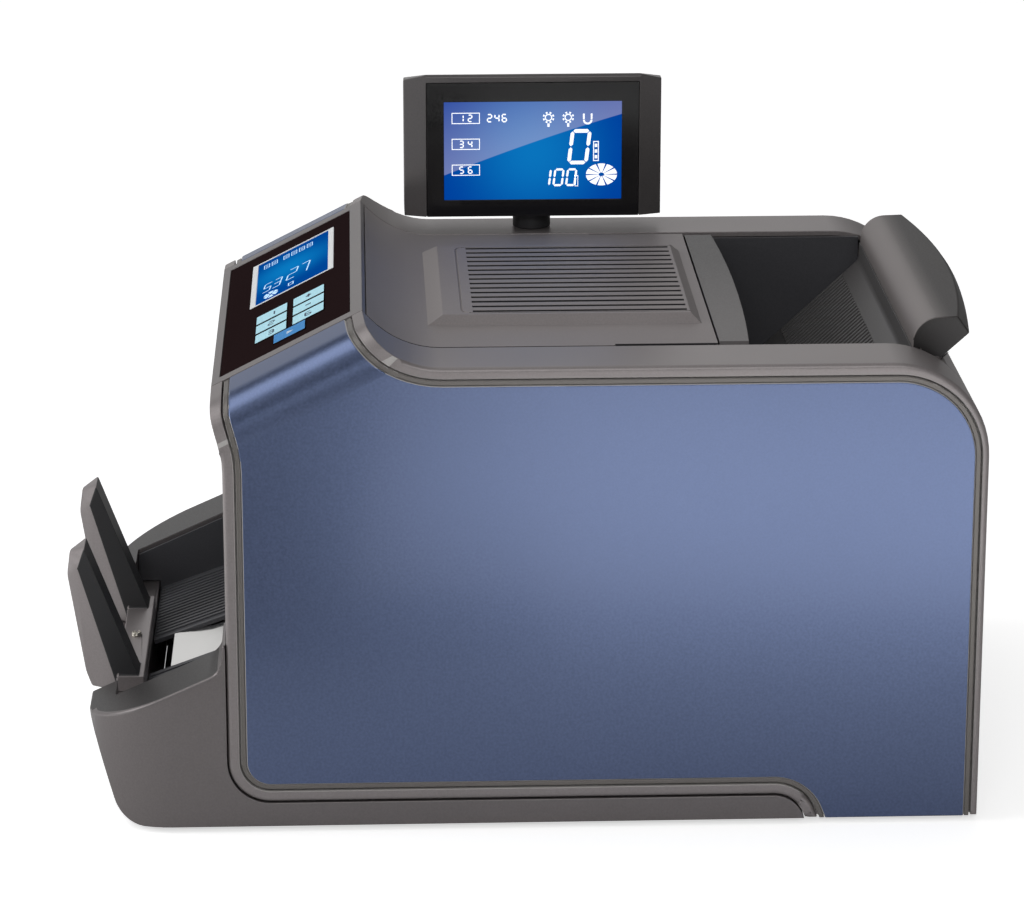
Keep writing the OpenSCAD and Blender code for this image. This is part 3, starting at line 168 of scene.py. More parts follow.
@dataclass(frozen=True)
class Paint(Finish):
    """A coloured surface with a fine grain and slow clouds, for mouldings, lacquers and metals."""

    colour: str
    roughness: float
    metallic: float = 0.0
    coat: float = 0.0
    grain_mm: float = 0.9
    grain: float = 0.05
    cloud_mm: float = 70.0
    cloud: float = 0.03
    bump: float = 0.05
    stretch: tuple[float, float, float] = (1.0, 1.0, 1.0)
    specular: float = 0.5
    coat_roughness: float = 0.12
    # Painted shade: axis, start and end in millimetres, and the share of the colour that is left past the end
    fade: tuple[int, float, float, float] | None = None

    def fill(self, tree: Tree, shader: Node) -> None:
        """Works the grain, the clouds and the fade of painted shade in.

        Args:
            tree: the material's tree.
            shader: its main shader.
        """
        place = add(tree, "ShaderNodeTexCoord")
        turned = add(tree, "ShaderNodeMapping", {"Vector": place.outputs["Object"], "Scale": self.stretch})
        grain = add(tree, "ShaderNodeTexNoise", {"Vector": turned.outputs[0],
                                                 "Scale": 1 / (self.grain_mm * MM), "Detail": 2.0})
        cloud = add(tree, "ShaderNodeTexNoise", {"Vector": place.outputs["Object"],
                                                 "Scale": 1 / (self.cloud_mm * MM), "Detail": 3.0})
        fine = self.spread(tree, grain, 1 - self.grain, 1 + self.grain)
        slow = self.spread(tree, cloud, 1 - self.cloud, 1 + self.cloud)
        both = add(tree, "ShaderNodeMath", {0: fine.outputs[0], 1: slow.outputs[0]}, operation="MULTIPLY")
        # The fade is painted shade: it darkens the colour along one axis.
        if self.fade:
            axis, start, end, left = self.fade
            part = add(tree, "ShaderNodeSeparateXYZ", {0: place.outputs["Object"]})
            painted_shade = add(tree, "ShaderNodeMapRange",
                       {"Value": part.outputs[axis], 1: start * MM, 2: end * MM, 3: 1.0, 4: left},
                       interpolation_type="SMOOTHSTEP")
            both = add(tree, "ShaderNodeMath", {0: both.outputs[0], 1: painted_shade.outputs[0]}, operation="MULTIPLY")
        shade = add(tree, "ShaderNodeVectorMath", {0: linear(self.colour)[:3]}, operation="SCALE")
        tree.links.new(both.outputs[0], shade.inputs["Scale"])
        tree.links.new(shade.outputs[0], shader.inputs["Base Color"])
        rough = self.spread(tree, grain, self.roughness - ROUGH_STRAY, self.roughness + ROUGH_STRAY)
        tree.links.new(rough.outputs[0], shader.inputs["Roughness"])
        bump = add(tree, "ShaderNodeBump", {"Height": grain.outputs[0], "Strength": self.bump,
                                            "Distance": GRAIN_HEIGHT * self.grain_mm * MM})
        tree.links.new(bump.outputs[0], shader.inputs["Normal"])
        shader.inputs["Metallic"].default_value = self.metallic
        shader.inputs["Specular IOR Level"].default_value = self.specular
        shader.inputs["Coat Weight"].default_value = self.coat
        shader.inputs["Coat Roughness"].default_value = self.coat_roughness

    def spread(self, tree: Tree, noise: Node, low: float, high: float) -> Node:
        """Stretches a noise to run from low to high."""
        return add(tree, "ShaderNodeMapRange",
                   {"Value": noise.outputs[0], 1: NOISE_LOW, 2: NOISE_HIGH, 3: low, 4: high})


@dataclass(frozen=True)
class PaintedReflection:
    """A painted reflection: the lighter part of a film above a rising curve."""

    # The curve's height over the film's middle, its rise, and its bend for each millimetre
    height_mm: float
    rise: float
    bend: float
    colour: str = "c9cbe6"
    # Share of the colour just above the curve, and the height over which it comes in
    share: float = 0.3
    edge_mm: float = 0.3
    # Height over which the share fades, and the part of it that is left
    fade_mm: float = 34.0
    left: float = 0.25


@dataclass(frozen=True)
class Glow(Finish):
    """A backlit film whose middle is brighter than its edges, behind a dull face."""

    middle: str
    edge: str
    centre: Point
    # Distance from the centre at which the edge's colour is reached
    reach_mm: float
    strength: float
    # A painted reflection across the film, if any
    painted_reflection: PaintedReflection | None = None

    def fill(self, tree: Tree, shader: Node) -> None:
        """Lights the film from its middle outwards.

        Args:
            tree: the material's tree.
            shader: its main shader.
        """
        place = add(tree, "ShaderNodeTexCoord")
        away = add(tree, "ShaderNodeVectorMath", {0: place.outputs["Object"], 1: self.centre},
                   operation="DISTANCE")
        fade = add(tree, "ShaderNodeMapRange",
                   {"Value": away.outputs["Value"], 1: 0.0, 2: self.reach_mm * MM},
                   interpolation_type="SMOOTHSTEP")
        hue = add(tree, "ShaderNodeMix", {0: fade.outputs[0], 6: linear(self.middle), 7: linear(self.edge)},
                  data_type="RGBA")
        colour = hue.outputs[2]
        if self.painted_reflection:
            colour = self.add_painted_reflection(tree, place, colour)
        tree.links.new(colour, shader.inputs["Emission Color"])
        shader.inputs["Emission Strength"].default_value = self.strength
        shader.inputs["Base Color"].default_value = (0, 0, 0, 1)
        shader.inputs["Roughness"].default_value = 0.3
        shader.inputs["Specular IOR Level"].default_value = 0.0

    def add_painted_reflection(self, tree: Tree, place: Node, colour: Socket) -> Socket:
        """Paints the reflection onto the film above its curve.

        Args:
            tree: the material's tree.
            place: the texture coordinates.
            colour: the colour below the curve.

        Returns:
            The colour with the painted reflection added.
        """
        painted_reflection = self.painted_reflection
        part = add(tree, "ShaderNodeSeparateXYZ", {0: place.outputs["Object"]})
        along = add(tree, "ShaderNodeMath", {0: part.outputs[1], 1: self.centre[1]}, operation="SUBTRACT")
        square = add(tree, "ShaderNodeMath", {0: along.outputs[0], 1: along.outputs[0]}, operation="MULTIPLY")
        line = add(tree, "ShaderNodeMath",
                   {0: along.outputs[0], 1: painted_reflection.rise, 2: self.centre[2] + painted_reflection.height_mm * MM},
                   operation="MULTIPLY_ADD")
        curve = add(tree, "ShaderNodeMath", {0: square.outputs[0], 1: painted_reflection.bend / MM, 2: line.outputs[0]},
                    operation="MULTIPLY_ADD")
        over = add(tree, "ShaderNodeMath", {0: part.outputs[2], 1: curve.outputs[0]}, operation="SUBTRACT")
        step = add(tree, "ShaderNodeMapRange",
                   {"Value": over.outputs[0], 1: 0.0, 2: painted_reflection.edge_mm * MM, 3: 0.0, 4: painted_reflection.share})
        fade = add(tree, "ShaderNodeMapRange",
                   {"Value": over.outputs[0], 1: 0.0, 2: painted_reflection.fade_mm * MM, 3: 1.0, 4: painted_reflection.left})
        share = add(tree, "ShaderNodeMath", {0: step.outputs[0], 1: fade.outputs[0]}, operation="MULTIPLY")
        light = add(tree, "ShaderNodeMix", {0: share.outputs[0], 6: colour, 7: linear(painted_reflection.colour)},
                    data_type="RGBA")
        return light.outputs[2]


@dataclass(frozen=True)
class Print(Finish):
    """A flat printed or lit mark with one colour."""

    colour: str
    glow: float = 0.0

    def fill(self, tree: Tree, shader: Node) -> None:
        """Sets the mark's one colour and its glow.

        Args:
            tree: the material's tree.
            shader: its main shader.
        """
        shader.inputs["Base Color"].default_value = linear(self.colour)
        shader.inputs["Roughness"].default_value = 0.5
        shader.inputs["Emission Color"].default_value = linear(self.colour)
        shader.inputs["Emission Strength"].default_value = self.glow


@dataclass(frozen=True)
class Card(Finish):
    """Dull board of the studio, with a lift that only the camera sees."""

    colour: str
    specular: float = 0.5
    lift: float = 0.0

    def fill(self, tree: Tree, shader: Node) -> None:
        """Sets the board's colour and its lift.

        Args:
            tree: the material's tree.
            shader: its main shader.
        """
        shader.inputs["Base Color"].default_value = linear(self.colour)
        shader.inputs["Roughness"].default_value = 0.9
        shader.inputs["Specular IOR Level"].default_value = self.specular
        if self.lift:
            ray = add(tree, "ShaderNodeLightPath")
            lift = add(tree, "ShaderNodeMath", {0: ray.outputs["Is Camera Ray"], 1: self.lift},
                       operation="MULTIPLY")
            tree.links.new(lift.outputs[0], shader.inputs["Emission Strength"])
            shader.inputs["Emission Color"].default_value = (1, 1, 1, 1)


# ABS mouldings sprayed with a grey metallic paint: satin, with flakes that give a light grain. Real ones
# are under 0.1 mm wide. They are drawn coarser, at 0.8 mm, so that they show, as are the fine grains below.
GUNMETAL = Paint("abs_gunmetal_paint", "8e8888", 0.42, metallic=0.5, grain_mm=0.8, grain=0.06)
# The same paint on the base, a darker copy as painted shade, and smoother: brighter highlights.
BASE_SHADED = Paint("abs_base_paint_shaded_copy", "797474", 0.34, metallic=0.65, grain_mm=0.8, grain=0.06)
# The same paint on the display, a darker copy as painted shade: a deeper grey.
SLATE_SHADED = Paint("abs_slate_paint_shaded_copy", "625f5f", 0.36, metallic=0.5, grain_mm=0.8, grain=0.06)
# The same paint on the lid, a lighter copy as painted light, with a duller finish.
LID_LIT = Paint("abs_lid_paint_lit_copy", "938d8d", 0.55, metallic=0.35, grain_mm=0.8, grain=0.06, specular=0.3)
# The same paint on the console's frame, a darker copy as painted shade.
FRAME_SHADED = Paint("abs_frame_paint_shaded_copy", "7a7575", 0.42, metallic=0.5, grain_mm=0.8, grain=0.06)
# The guide's paint, a shade darker, with painted shade that darkens it towards its back.
GUIDE_SHADED = Paint("abs_guide_paint_painted_shade", "827c7b", 0.45, metallic=0.2, grain_mm=0.8, grain=0.06, specular=0.2,
              fade=(1, 171.0, 184.0, 0.2))
# The strip's paint, a darker copy, with a painted shadow of the display that darkens its far side.
STRIP_SHADED = Paint("abs_strip_paint_painted_shadow", "625e5e", 0.42, metallic=0.4, grain_mm=0.8, grain=0.06,
              fade=(0, 90.0, -90.0, 0.35))
# Pale grey on the walls and floors of the grooves round the side panels and on the panels' edges, matt:
# painted light that lifts the grooves' shade and draws a highlight round each panel.
GROOVE_HIGHLIGHT = Paint("pale_grey_painted_highlight", "b0adab", 0.6, grain=0.03)
# Charcoal grey as painted shade, on the top of the tray's rim and on the ends of the guide.
CHARCOAL_SHADE = Paint("abs_charcoal_painted_shade", "373535", 0.4, metallic=0.3, grain_mm=0.8, grain=0.06)
# The same paint a shade warmer, on the narrow trim rings.
TRIM = Paint("abs_trim_paint", "716d6a", 0.4, metallic=0.4, grain_mm=0.8, grain=0.05)
# ABS panels with a blue metallic lacquer: deep colour, soft highlights and visible flakes.
BLUE = Paint("abs_blue_lacquer", "5e6b8c", 0.32, metallic=0.8, coat=0.12, grain_mm=1.1, grain=0.09,
             cloud_mm=160)
# Black ABS with a moulded texture, dull in the hollows.
BLACK = Paint("abs_black_moulded", "2a2a2c", 0.5, grain_mm=0.7, grain=0.08, bump=0.12)
# Dark grey ABS of the tray's liner and the hopper's well, a paler copy of the black as painted light that
# lifts the shade inside them.
LINER_LIT = Paint("abs_charcoal_moulded_lit_copy", "48484c", 0.45, grain_mm=0.7, grain=0.08, bump=0.1)
# The ramp's dark grey ABS, paler than the black.
RAMP = Paint("abs_dark_grey_moulded", "545252", 0.45, grain_mm=0.7, grain=0.08, bump=0.1)
# Smoked acrylic, polished: nearly black, with clear reflections.
ACRYLIC = Paint("acrylic_smoked", "0e0d0f", 0.12, grain=0.02, cloud=0.05, bump=0.0)
# Printed polyester overlay, matt: a warm black without highlights.
OVERLAY = Paint("polyester_overlay", "261b1c", 0.45, grain_mm=0.5, grain=0.05, bump=0.06, specular=0.0)
# White ABS, moulded: clean, with a soft gloss.
WHITE = Paint("abs_white", "eef1f3", 0.4, grain=0.02, bump=0.02)
# Moulded silicone keys, pale and deep blue: even, with little gloss.
KEY = Paint("silicone_pale_blue", "bdf0ff", 0.5, grain=0.02, bump=0.04, specular=0.1)
START = Paint("silicone_deep_blue", "3a8fd4", 0.5, grain=0.03, bump=0.04, specular=0.1)
# Stainless sheet, rolled and polished: a bright mirror with faint lines along its length.
POLISHED = Paint("stainless_polished", "e4e3e1", 0.14, metallic=1.0, grain_mm=0.6, grain=0.03, bump=0.02,
                 stretch=(1.0, 0.05, 0.05))
# Sheet steel, zinc plated: pale grey with a faint spangle.
SHEET = Paint("steel_zinc_plated", "8d9094", 0.38, metallic=0.9, grain_mm=3.0, grain=0.08, bump=0.03)
# Ground steel shafts and rods: bright, with fine lines round them.
GROUND = Paint("steel_ground", "b9bbbd", 0.26, metallic=1.0, grain_mm=0.5, grain=0.06,
               stretch=(1.0, 0.08, 0.08))
# Steel screws in black oxide: dark, with a low gloss.
OXIDE = Paint("steel_black_oxide", "2d2d30", 0.42, metallic=0.7, grain=0.06)
# Moulded nitrile rubber: black and dull.
RUBBER = Paint("rubber_nitrile", "1d1d1d", 0.7, grain_mm=0.6, grain=0.1, bump=0.15)
# Moulded blue acetal of the stacker wheels: even and a little waxy.
ACETAL = Paint("acetal_blue", "2a4274", 0.4, grain=0.04)
# Fibreglass board under green solder mask: smooth and glossy.
BOARD = Paint("fibreglass_board", "1a5a34", 0.35, grain_mm=0.4, grain=0.08)
# Laminated iron core, varnished: dark, in fine layers.
LAMINATE = Paint("iron_laminated", "4a4542", 0.5, metallic=0.4, grain_mm=0.6, grain=0.12,
                 stretch=(0.1, 1.0, 0.1))
# Brass, nickel plated: a warm, bright metal.
NICKEL = Paint("brass_nickel_plated", "c6c1b6", 0.25, metallic=1.0)
# Segments of the screens, which shine, and inks of the keys, which don't.
LIT = Print("lcd_lit_segment", "f4f8fc", 0.85)
DIM = Print("lcd_dim_segment", "a9cbe6", 0.7)
INK = Print("ink_navy", "24405e")
PALE_INK = Print("ink_pale", "c4d8ea")
# Boards of the studio.
FLOOR = Card("studio_floor", "f4f4f4", specular=0.0, lift=0.62)
DULL_BLACK = Card("studio_flag", "101010")


@dataclass
class Plane:
    """A flat face to draw on, with its own right and up directions."""

    origin: Vector
    right: Vector
    up: Vector

    def at(self, u: float, v: float, h: float) -> Vector:
        """Returns the point u to the right, v up and h out of the face, all in millimetres."""
        return self.origin + (self.right * u + self.up * v + self.right.cross(self.up) * h) * MM


@dataclass(frozen=True)
class Digits:
    """A row of seven-segment digits, in millimetres on a plane."""

    numbers: tuple[int, ...]
    # Middle of the first digit, and the step to the next
    u: float
    v: float
    step: float
    # Width and height of a digit, width of a segment, and the lean
    w: float
    h: float
    line: float
    slant: float = 0.12


@dataclass(frozen=True)
class Fan:
    """Wedges of an oval ring, in millimetres and degrees on a plane."""

    # Middle, half width and half height of the ring
    u: float
    v: float
    rx: float
    ry: float
    count: int
    # Angles at which the first wedge starts and ends, and the share of the radius that stays open
    start: float
    end: float
    inner: float


@dataclass
class Drawing:
    """Flat convex shapes, in millimetres on a plane."""

    shapes: list[Shape] = field(default_factory=list)
    # Largest angle of a wedge's slice in degrees, and the gap between segments as a share of their width
    slice_angle: float = 12.0
    gap_share: float = 0.16

    def bar(self, u: float, v: float, w: float, h: float) -> "Drawing":
        """Adds an upright box, w wide and h high, with its middle at u, v."""
        self.shapes.append([(u + x * w / 2, v + y * h / 2) for x, y in ((-1, -1), (1, -1), (1, 1), (-1, 1))])
        return self

    def frame(self, u: float, v: float, w: float, h: float, line: float) -> "Drawing":
        """Adds a box outline.

        Args:
            u: middle, to the right.
            v: middle, up.
            w: width.
            h: height.
            line: width of its line.

        Returns:
            This drawing.
        """
        for side in (-1, 1):
            self.bar(u, v + side * (h - line) / 2, w, line)
            self.bar(u + side * (w - line) / 2, v, line, h - 2 * line)
        return self

    def fan(self, fan: Fan) -> "Drawing":
        """Adds the wedges of a fan as thin slices.

        Args:
            fan: the fan.

        Returns:
            This drawing.
        """
        width = fan.end - fan.start
        steps = max(2, math.ceil(width / self.slice_angle))
        for wedge in range(fan.count):
            start = 360 / fan.count * wedge + fan.start
            angles = [math.radians(start + width * k / steps) for k in range(steps + 1)]
            for a, b in zip(angles, angles[1:]):
                self.shapes.append([(fan.u + fan.rx * s * math.cos(t), fan.v + fan.ry * s * math.sin(t))
                                    for t, s in ((a, fan.inner), (a, 1.0), (b, 1.0), (b, fan.inner))])
        return self

    def digits(self, row: Digits) -> "Drawing":
        """Adds a row of digits."""
        for k, number in enumerate(row.numbers):
            self.digit(number, row.u + row.step * k, row.v, row.w, row.h, row.line, row.slant)
        return self

    def digit(self, number: int, u: float, v: float, w: float, h: float, line: float,
              slant: float) -> "Drawing":
        """Adds a seven-segment digit.

        Args:
            number: 0 to 9.
            u: middle, to the right.
            v: middle, up.
            w: width.
            h: height.
            line: width of a segment.
            slant: lean of the digit.

        Returns:
            This drawing.
        """
        lit = {0: "abcdef", 1: "bc", 2: "abged", 3: "abgcd", 4: "fgbc", 5: "afgcd", 6: "afgedc", 7: "abc",
               8: "abcdefg", 9: "abcdfg"}[number]
        x, y, t = w / 2 - line / 2, h / 2 - line / 2, line / 2
        gap = self.gap_share * line
        ends = {"a": ((-x, y), (x, y)), "b": ((x, y), (x, 0)), "c": ((x, 0), (x, -y)),
                "d": ((-x, -y), (x, -y)), "e": ((-x, 0), (-x, -y)), "f": ((-x, y), (-x, 0)),
                "g": ((-x, 0), (x, 0))}
        for name in lit:
            (x0, y0), (x1, y1) = ends[name]
            length = math.hypot(x1 - x0, y1 - y0)
            dx, dy = (x1 - x0) / length, (y1 - y0) / length
            outline = []
            for along, across in ((gap, 0), (gap + t, -t), (length - gap - t, -t), (length - gap, 0),
                                  (length - gap - t, t), (gap + t, t)):
                px, py = x0 + dx * along - dy * across, y0 + dy * along + dx * across
                outline.append((u + px + slant * py, v + py))
            self.shapes.append(outline)
        return self

    def piece(self, name: str, plane: Plane, low: float, high: float, finish: Print,
              body: str) -> bpy.types.Object:
        """Raises the shapes off a plane as one thin piece.

        Args:
            name: the piece's name.
            plane: the face that carries the shapes.
            low: height of their underside over the plane, in millimetres.
            high: height of their top.
            finish: the print's finish.
            body: the CAD body that carries it.

        Returns:
            The new object, riding on its body.
        """
        bm = bmesh.new()
        for shape in self.shapes:
            base = [bm.verts.new(plane.at(u, v, low)) for u, v in shape]
            top = [bm.verts.new(plane.at(u, v, high)) for u, v in shape]
            bm.faces.new(top)
            bm.faces.new(base[::-1])
            for i in range(len(shape)):
                j = (i + 1) % len(shape)
                bm.faces.new((base[i], base[j], top[j], top[i]))
        bmesh.ops.recalc_face_normals(bm, faces=bm.faces)
        LOG.info("%s drawn with %d shapes", name, len(self.shapes))
        return shown(name, bm, finish, body)


def shown(name: str, bm: bmesh.types.BMesh, finish: Finish, body: str) -> bpy.types.Object:
    """Turns a bmesh into a piece that rides on a body.

    Args:
        name: the piece's name.
        bm: the shape, which is freed.
        finish: its finish.
        body: the CAD body that carries it.

    Returns:
        The new object.
    """
    mesh = bpy.data.meshes.new(name)
    bm.to_mesh(mesh)
    bm.free()
    mesh.materials.append(finish.material())
    obj = bpy.data.objects.new(name, mesh)
    bpy.context.scene.collection.objects.link(obj)
    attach(obj, body)
    return obj


def settled(obj: bpy.types.Object) -> None:
    """Turns an object's modifiers into plain mesh.

    Args:
        obj: the object.
    """
    graph = bpy.context.evaluated_depsgraph_get()
    mesh = bpy.data.meshes.new_from_object(obj.evaluated_get(graph))
    obj.modifiers.clear()
    obj.data = mesh


@dataclass(frozen=True)
class Roll:
    """Edges of a node that get a wide round of their own."""

    width_mm: float
    picks: Callable[[bmesh.types.BMEdge], bool]


@dataclass(frozen=True)
class Tint:
    """Faces of a node that have a finish of their own."""

    finish: Paint
    picks: Callable[[bmesh.types.BMFace], bool]


@dataclass
class Frame:
    """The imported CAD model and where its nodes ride."""

    nodes: dict[str, bpy.types.Object]
    record: dict[str, Any]

    def body(self, node: str) -> str:
        """Returns the body that carries a node."""
        bodies = self.record["behaviour"]["bodies"]
        return next(name for name, held in bodies.items() if node in held)

    def slot(self, node: str) -> str:
        """Returns the record's material slot of a node."""
        return next(s["material_slot"] for s in self.record["subparts"] if s["node"] == node)

    def paint(self, finish: Finish, *nodes: str) -> None:
        """Gives CAD nodes that stay as they are a finish.

        Args:
            finish: the finish.
            nodes: the nodes' names.
        """
        for node in nodes:
            obj = self.nodes[node]
            if not obj.material_slots:
                obj.data.materials.append(finish.material())
            for place in obj.material_slots:
                place.material = finish.material()
            LOG.info("%s keeps its CAD shape", node)

    def dress(self, node: str, finish: Paint, edge: Edge, roll: Roll | None = None,
              tint: Tint | None = None, merge: bool = False) -> bpy.types.Object:
        """Puts a copy of a CAD node with rounded edges in its place.

        Args:
            node: the CAD node.
            finish: its finish.
            edge: how far its edges are rounded.
            roll: edges that are rounded further.
            tint: faces that have another finish.
            merge: join flat neighbouring faces first, for nodes whose faces have no holes.

        Returns:
            The new piece.
        """
        bm = bmesh.new()
        bm.from_mesh(self.nodes[node].data)
        bmesh.ops.remove_doubles(bm, verts=bm.verts, dist=SAME_CORNER)
        low = [min(vertex.co[axis] for vertex in bm.verts) for axis in range(3)]
        high = [max(vertex.co[axis] for vertex in bm.verts) for axis in range(3)]
        if merge:
            bmesh.ops.dissolve_limit(bm, angle_limit=FLAT_TURN, verts=bm.verts, edges=bm.edges)
        bm.normal_update()
        for face in bm.faces:
            face.material_index = int(tint is not None and tint.picks(face))
        if roll:
            self.roll(bm, roll)
        for face in bm.faces:
            face.smooth = True
        if edge is Edge.SHARP:
            for bend in bm.edges:
                bend.smooth = len(bend.link_faces) == 2 and bend.calc_face_angle() < SHARP_TURN
        body = self.body(node)
        obj = shown(f"{node}_dressed", bm, finish, body)
        if tint:
            obj.data.materials.append(tint.finish.material())
        self.round_off(obj, edge)
        # Corners of a bevel can reach past the node, so they are held in its box.
        for vertex in obj.data.vertices:
            vertex.co = [min(max(place, least), most) for place, least, most in zip(vertex.co, low, high)]
        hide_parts(node)
        LOG.info("%s dressed with %s edges", node, edge.name.lower())
        return obj

    def roll(self, bm: bmesh.types.BMesh, roll: Roll) -> None:
        """Gives the edges that a roll picks a wide round in the node's main finish.

        Args:
            bm: the node's shape.
            roll: which edges, and how wide.
        """
        wide = [e for e in bm.edges if len(e.link_faces) == 2 and roll.picks(e)]
        rolled = bmesh.ops.bevel(bm, geom=wide, offset=roll.width_mm * MM, offset_type="OFFSET", segments=5,
                                 profile=0.5, affect="EDGES", clamp_overlap=False, material=-1)
        for face in rolled["faces"]:
            face.material_index = 0

    def round_off(self, obj: bpy.types.Object, edge: Edge) -> None:
        """Rounds a piece's edges, evens its shading and leaves plain mesh.

        Args:
            obj: the piece.
            edge: how far its edges are rounded.
        """
        if edge is not Edge.SHARP:
            bevel = obj.modifiers.new("rounded_edges", "BEVEL")
            bevel.limit_method = "ANGLE"
            bevel.angle_limit = SHARP_TURN
            bevel.width = edge.value * MM
            bevel.segments = 3
            bevel.use_clamp_overlap = False
            bevel.miter_outer = "MITER_ARC"
        even = obj.modifiers.new("even_shading", "WEIGHTED_NORMAL")
        even.weight = 90
        even.keep_sharp = edge is Edge.SHARP
        settled(obj)


@dataclass
class Repeat:
    """One small shape that Geometry Nodes set on each of a few points, in place of a CAD node."""

    frame: Frame
    node: str
    finish: Paint
    points: tuple[Point, ...]
    # The tree's inputs, in millimetres
    sizes: dict[str, float]
    tilt: Point = (0.0, 0.0, 0.0)

    def shape(self, tree: Tree, size: bpy.types.NodeOutputs) -> Socket:
        """Builds the shape in a tree.

        Args:
            tree: the tree.
            size: the tree's inputs, by the names in sizes.

        Returns:
            The socket that gives the shape.
        """
        raise NotImplementedError

    def build(self) -> None:
        """Builds the tree, sets its sizes and keeps the result as plain mesh."""
        tree = bpy.data.node_groups.new(f"{self.node}_repeat", "GeometryNodeTree")
        tree.interface.new_socket("Points", in_out="INPUT", socket_type="NodeSocketGeometry")
        keys = {}
        for name in self.sizes:
            entry = tree.interface.new_socket(name, in_out="INPUT", socket_type="NodeSocketFloat")
            keys[name] = entry.identifier
        tree.interface.new_socket("Mesh", in_out="OUTPUT", socket_type="NodeSocketGeometry")
        start = add(tree, "NodeGroupInput")
        placed = add(tree, "GeometryNodeInstanceOnPoints",
                     {"Points": start.outputs["Points"], "Rotation": self.tilt,
                      "Instance": self.shape(tree, start.outputs)})
        real = add(tree, "GeometryNodeRealizeInstances", {"Geometry": placed.outputs[0]})
        done = add(tree, "GeometryNodeSetMaterial",
                   {"Geometry": real.outputs[0], "Material": self.finish.material()})
        add(tree, "NodeGroupOutput", {"Mesh": done.outputs[0]})
        mesh = bpy.data.meshes.new(f"{self.node}_points")
        mesh.from_pydata([tuple(c * MM for c in p) for p in self.points], [], [])
        obj = bpy.data.objects.new(f"{self.node}_set", mesh)
        bpy.context.scene.collection.objects.link(obj)
        grown = obj.modifiers.new("repeat", "NODES")
        grown.node_group = tree
        for name, value in self.sizes.items():
            grown[keys[name]] = value * MM
        settled(obj)
        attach(obj, self.frame.body(self.node))
        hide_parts(self.node)
        self.frame.slot(self.node)
        LOG.info("%s set on %d points", self.node, len(self.points))


@dataclass
class Screws(Repeat):
    """Pan heads with a cross recess."""

    # Radii of the head's top and of the shank as shares of the head's, and the cross's rise in head heights
    top_share: float = 0.82
    shank_share: float = 0.5
    cross_rise: float = 0.9

    def shape(self, tree: Tree, size: bpy.types.NodeOutputs) -> Socket:
        """Builds a chamfered head with a cross cut into it and a shank behind it.

        Args:
            tree: the tree.
            size: the tree's inputs, by the names in sizes.

        Returns:
            The socket that gives the shape.
        """
        rim = add(tree, "ShaderNodeMath", {0: size["Head"], 1: self.top_share}, operation="MULTIPLY")
        body = add(tree, "GeometryNodeMeshCone", {"Vertices": 40, "Radius Bottom": size["Head"],
                                                  "Radius Top": rim.outputs[0], "Depth": size["Height"]})
        bars = []
        for long, short in (("Slot", "Width"), ("Width", "Slot")):
            span = add(tree, "ShaderNodeCombineXYZ", {0: size[long], 1: size[short], 2: size["Height"]})
            bars.append(add(tree, "GeometryNodeMeshCube", {"Size": span.outputs[0]}))
        up = add(tree, "ShaderNodeMath", {0: size["Height"], 1: self.cross_rise}, operation="MULTIPLY")
        lift = add(tree, "ShaderNodeCombineXYZ", {2: up.outputs[0]})
        cross = add(tree, "GeometryNodeMeshBoolean", {1: bars[0].outputs["Mesh"]}, operation="UNION")
        tree.links.new(bars[1].outputs["Mesh"], cross.inputs[1])
        raised = add(tree, "GeometryNodeTransform", {"Geometry": cross.outputs[0],
                                                     "Translation": lift.outputs[0]})
        cut = add(tree, "GeometryNodeMeshBoolean", {0: body.outputs["Mesh"], 1: raised.outputs[0]},
                  operation="DIFFERENCE")
        thin = add(tree, "ShaderNodeMath", {0: size["Head"], 1: self.shank_share}, operation="MULTIPLY")
        stem = add(tree, "GeometryNodeMeshCylinder", {"Vertices": 24, "Radius": thin.outputs[0],
                                                      "Depth": size["Shank"]})
        half = add(tree, "ShaderNodeMath", {0: size["Shank"], 1: -0.5}, operation="MULTIPLY")
        down = add(tree, "ShaderNodeCombineXYZ", {2: half.outputs[0]})
        lowered = add(tree, "GeometryNodeTransform", {"Geometry": stem.outputs["Mesh"],
                                                      "Translation": down.outputs[0]})
        both = add(tree, "GeometryNodeJoinGeometry", {0: cut.outputs[0]})
        tree.links.new(lowered.outputs[0], both.inputs[0])
        return both.outputs[0]


@dataclass
class Feet(Repeat):
    """Tapered rubber feet with a hollow underside."""

    # Height of the hollow's middle as a share of the foot's height
    hollow_rise: float = -0.1

    def shape(self, tree: Tree, size: bpy.types.NodeOutputs) -> Socket:
        """Builds a cone with a shallow round hollow in its underside.

        Args:
            tree: the tree.
            size: the tree's inputs, by the names in sizes.

        Returns:
            The socket that gives the shape.
        """
        body = add(tree, "GeometryNodeMeshCone", {"Vertices": 48, "Radius Bottom": size["Foot"],
                                                  "Radius Top": size["Top"], "Depth": size["Height"]})
        hollow = add(tree, "GeometryNodeMeshCylinder", {"Vertices": 32, "Radius": size["Hollow"],
                                                        "Depth": size["Height"]})
        part = add(tree, "ShaderNodeMath", {0: size["Height"], 1: self.hollow_rise}, operation="MULTIPLY")
        down = add(tree, "ShaderNodeCombineXYZ", {2: part.outputs[0]})
        lowered = add(tree, "GeometryNodeTransform", {"Geometry": hollow.outputs["Mesh"],
                                                      "Translation": down.outputs[0]})
        cut = add(tree, "GeometryNodeMeshBoolean", {0: body.outputs["Mesh"], 1: lowered.outputs[0]},
                  operation="DIFFERENCE")
        return cut.outputs[0]


@dataclass(frozen=True)
class Flag:
    """A level dark card, with its ends in x and y and its height."""

    name: str
    across: tuple[float, float]
    along: tuple[float, float]
    height: float


@dataclass(frozen=True)
class Lamp:
    """A soft box: where it hangs, the point that it faces, its width and height, and its watts."""

    name: str
    at: Point
    to: Point
    size: tuple[float, float]
    watts: float


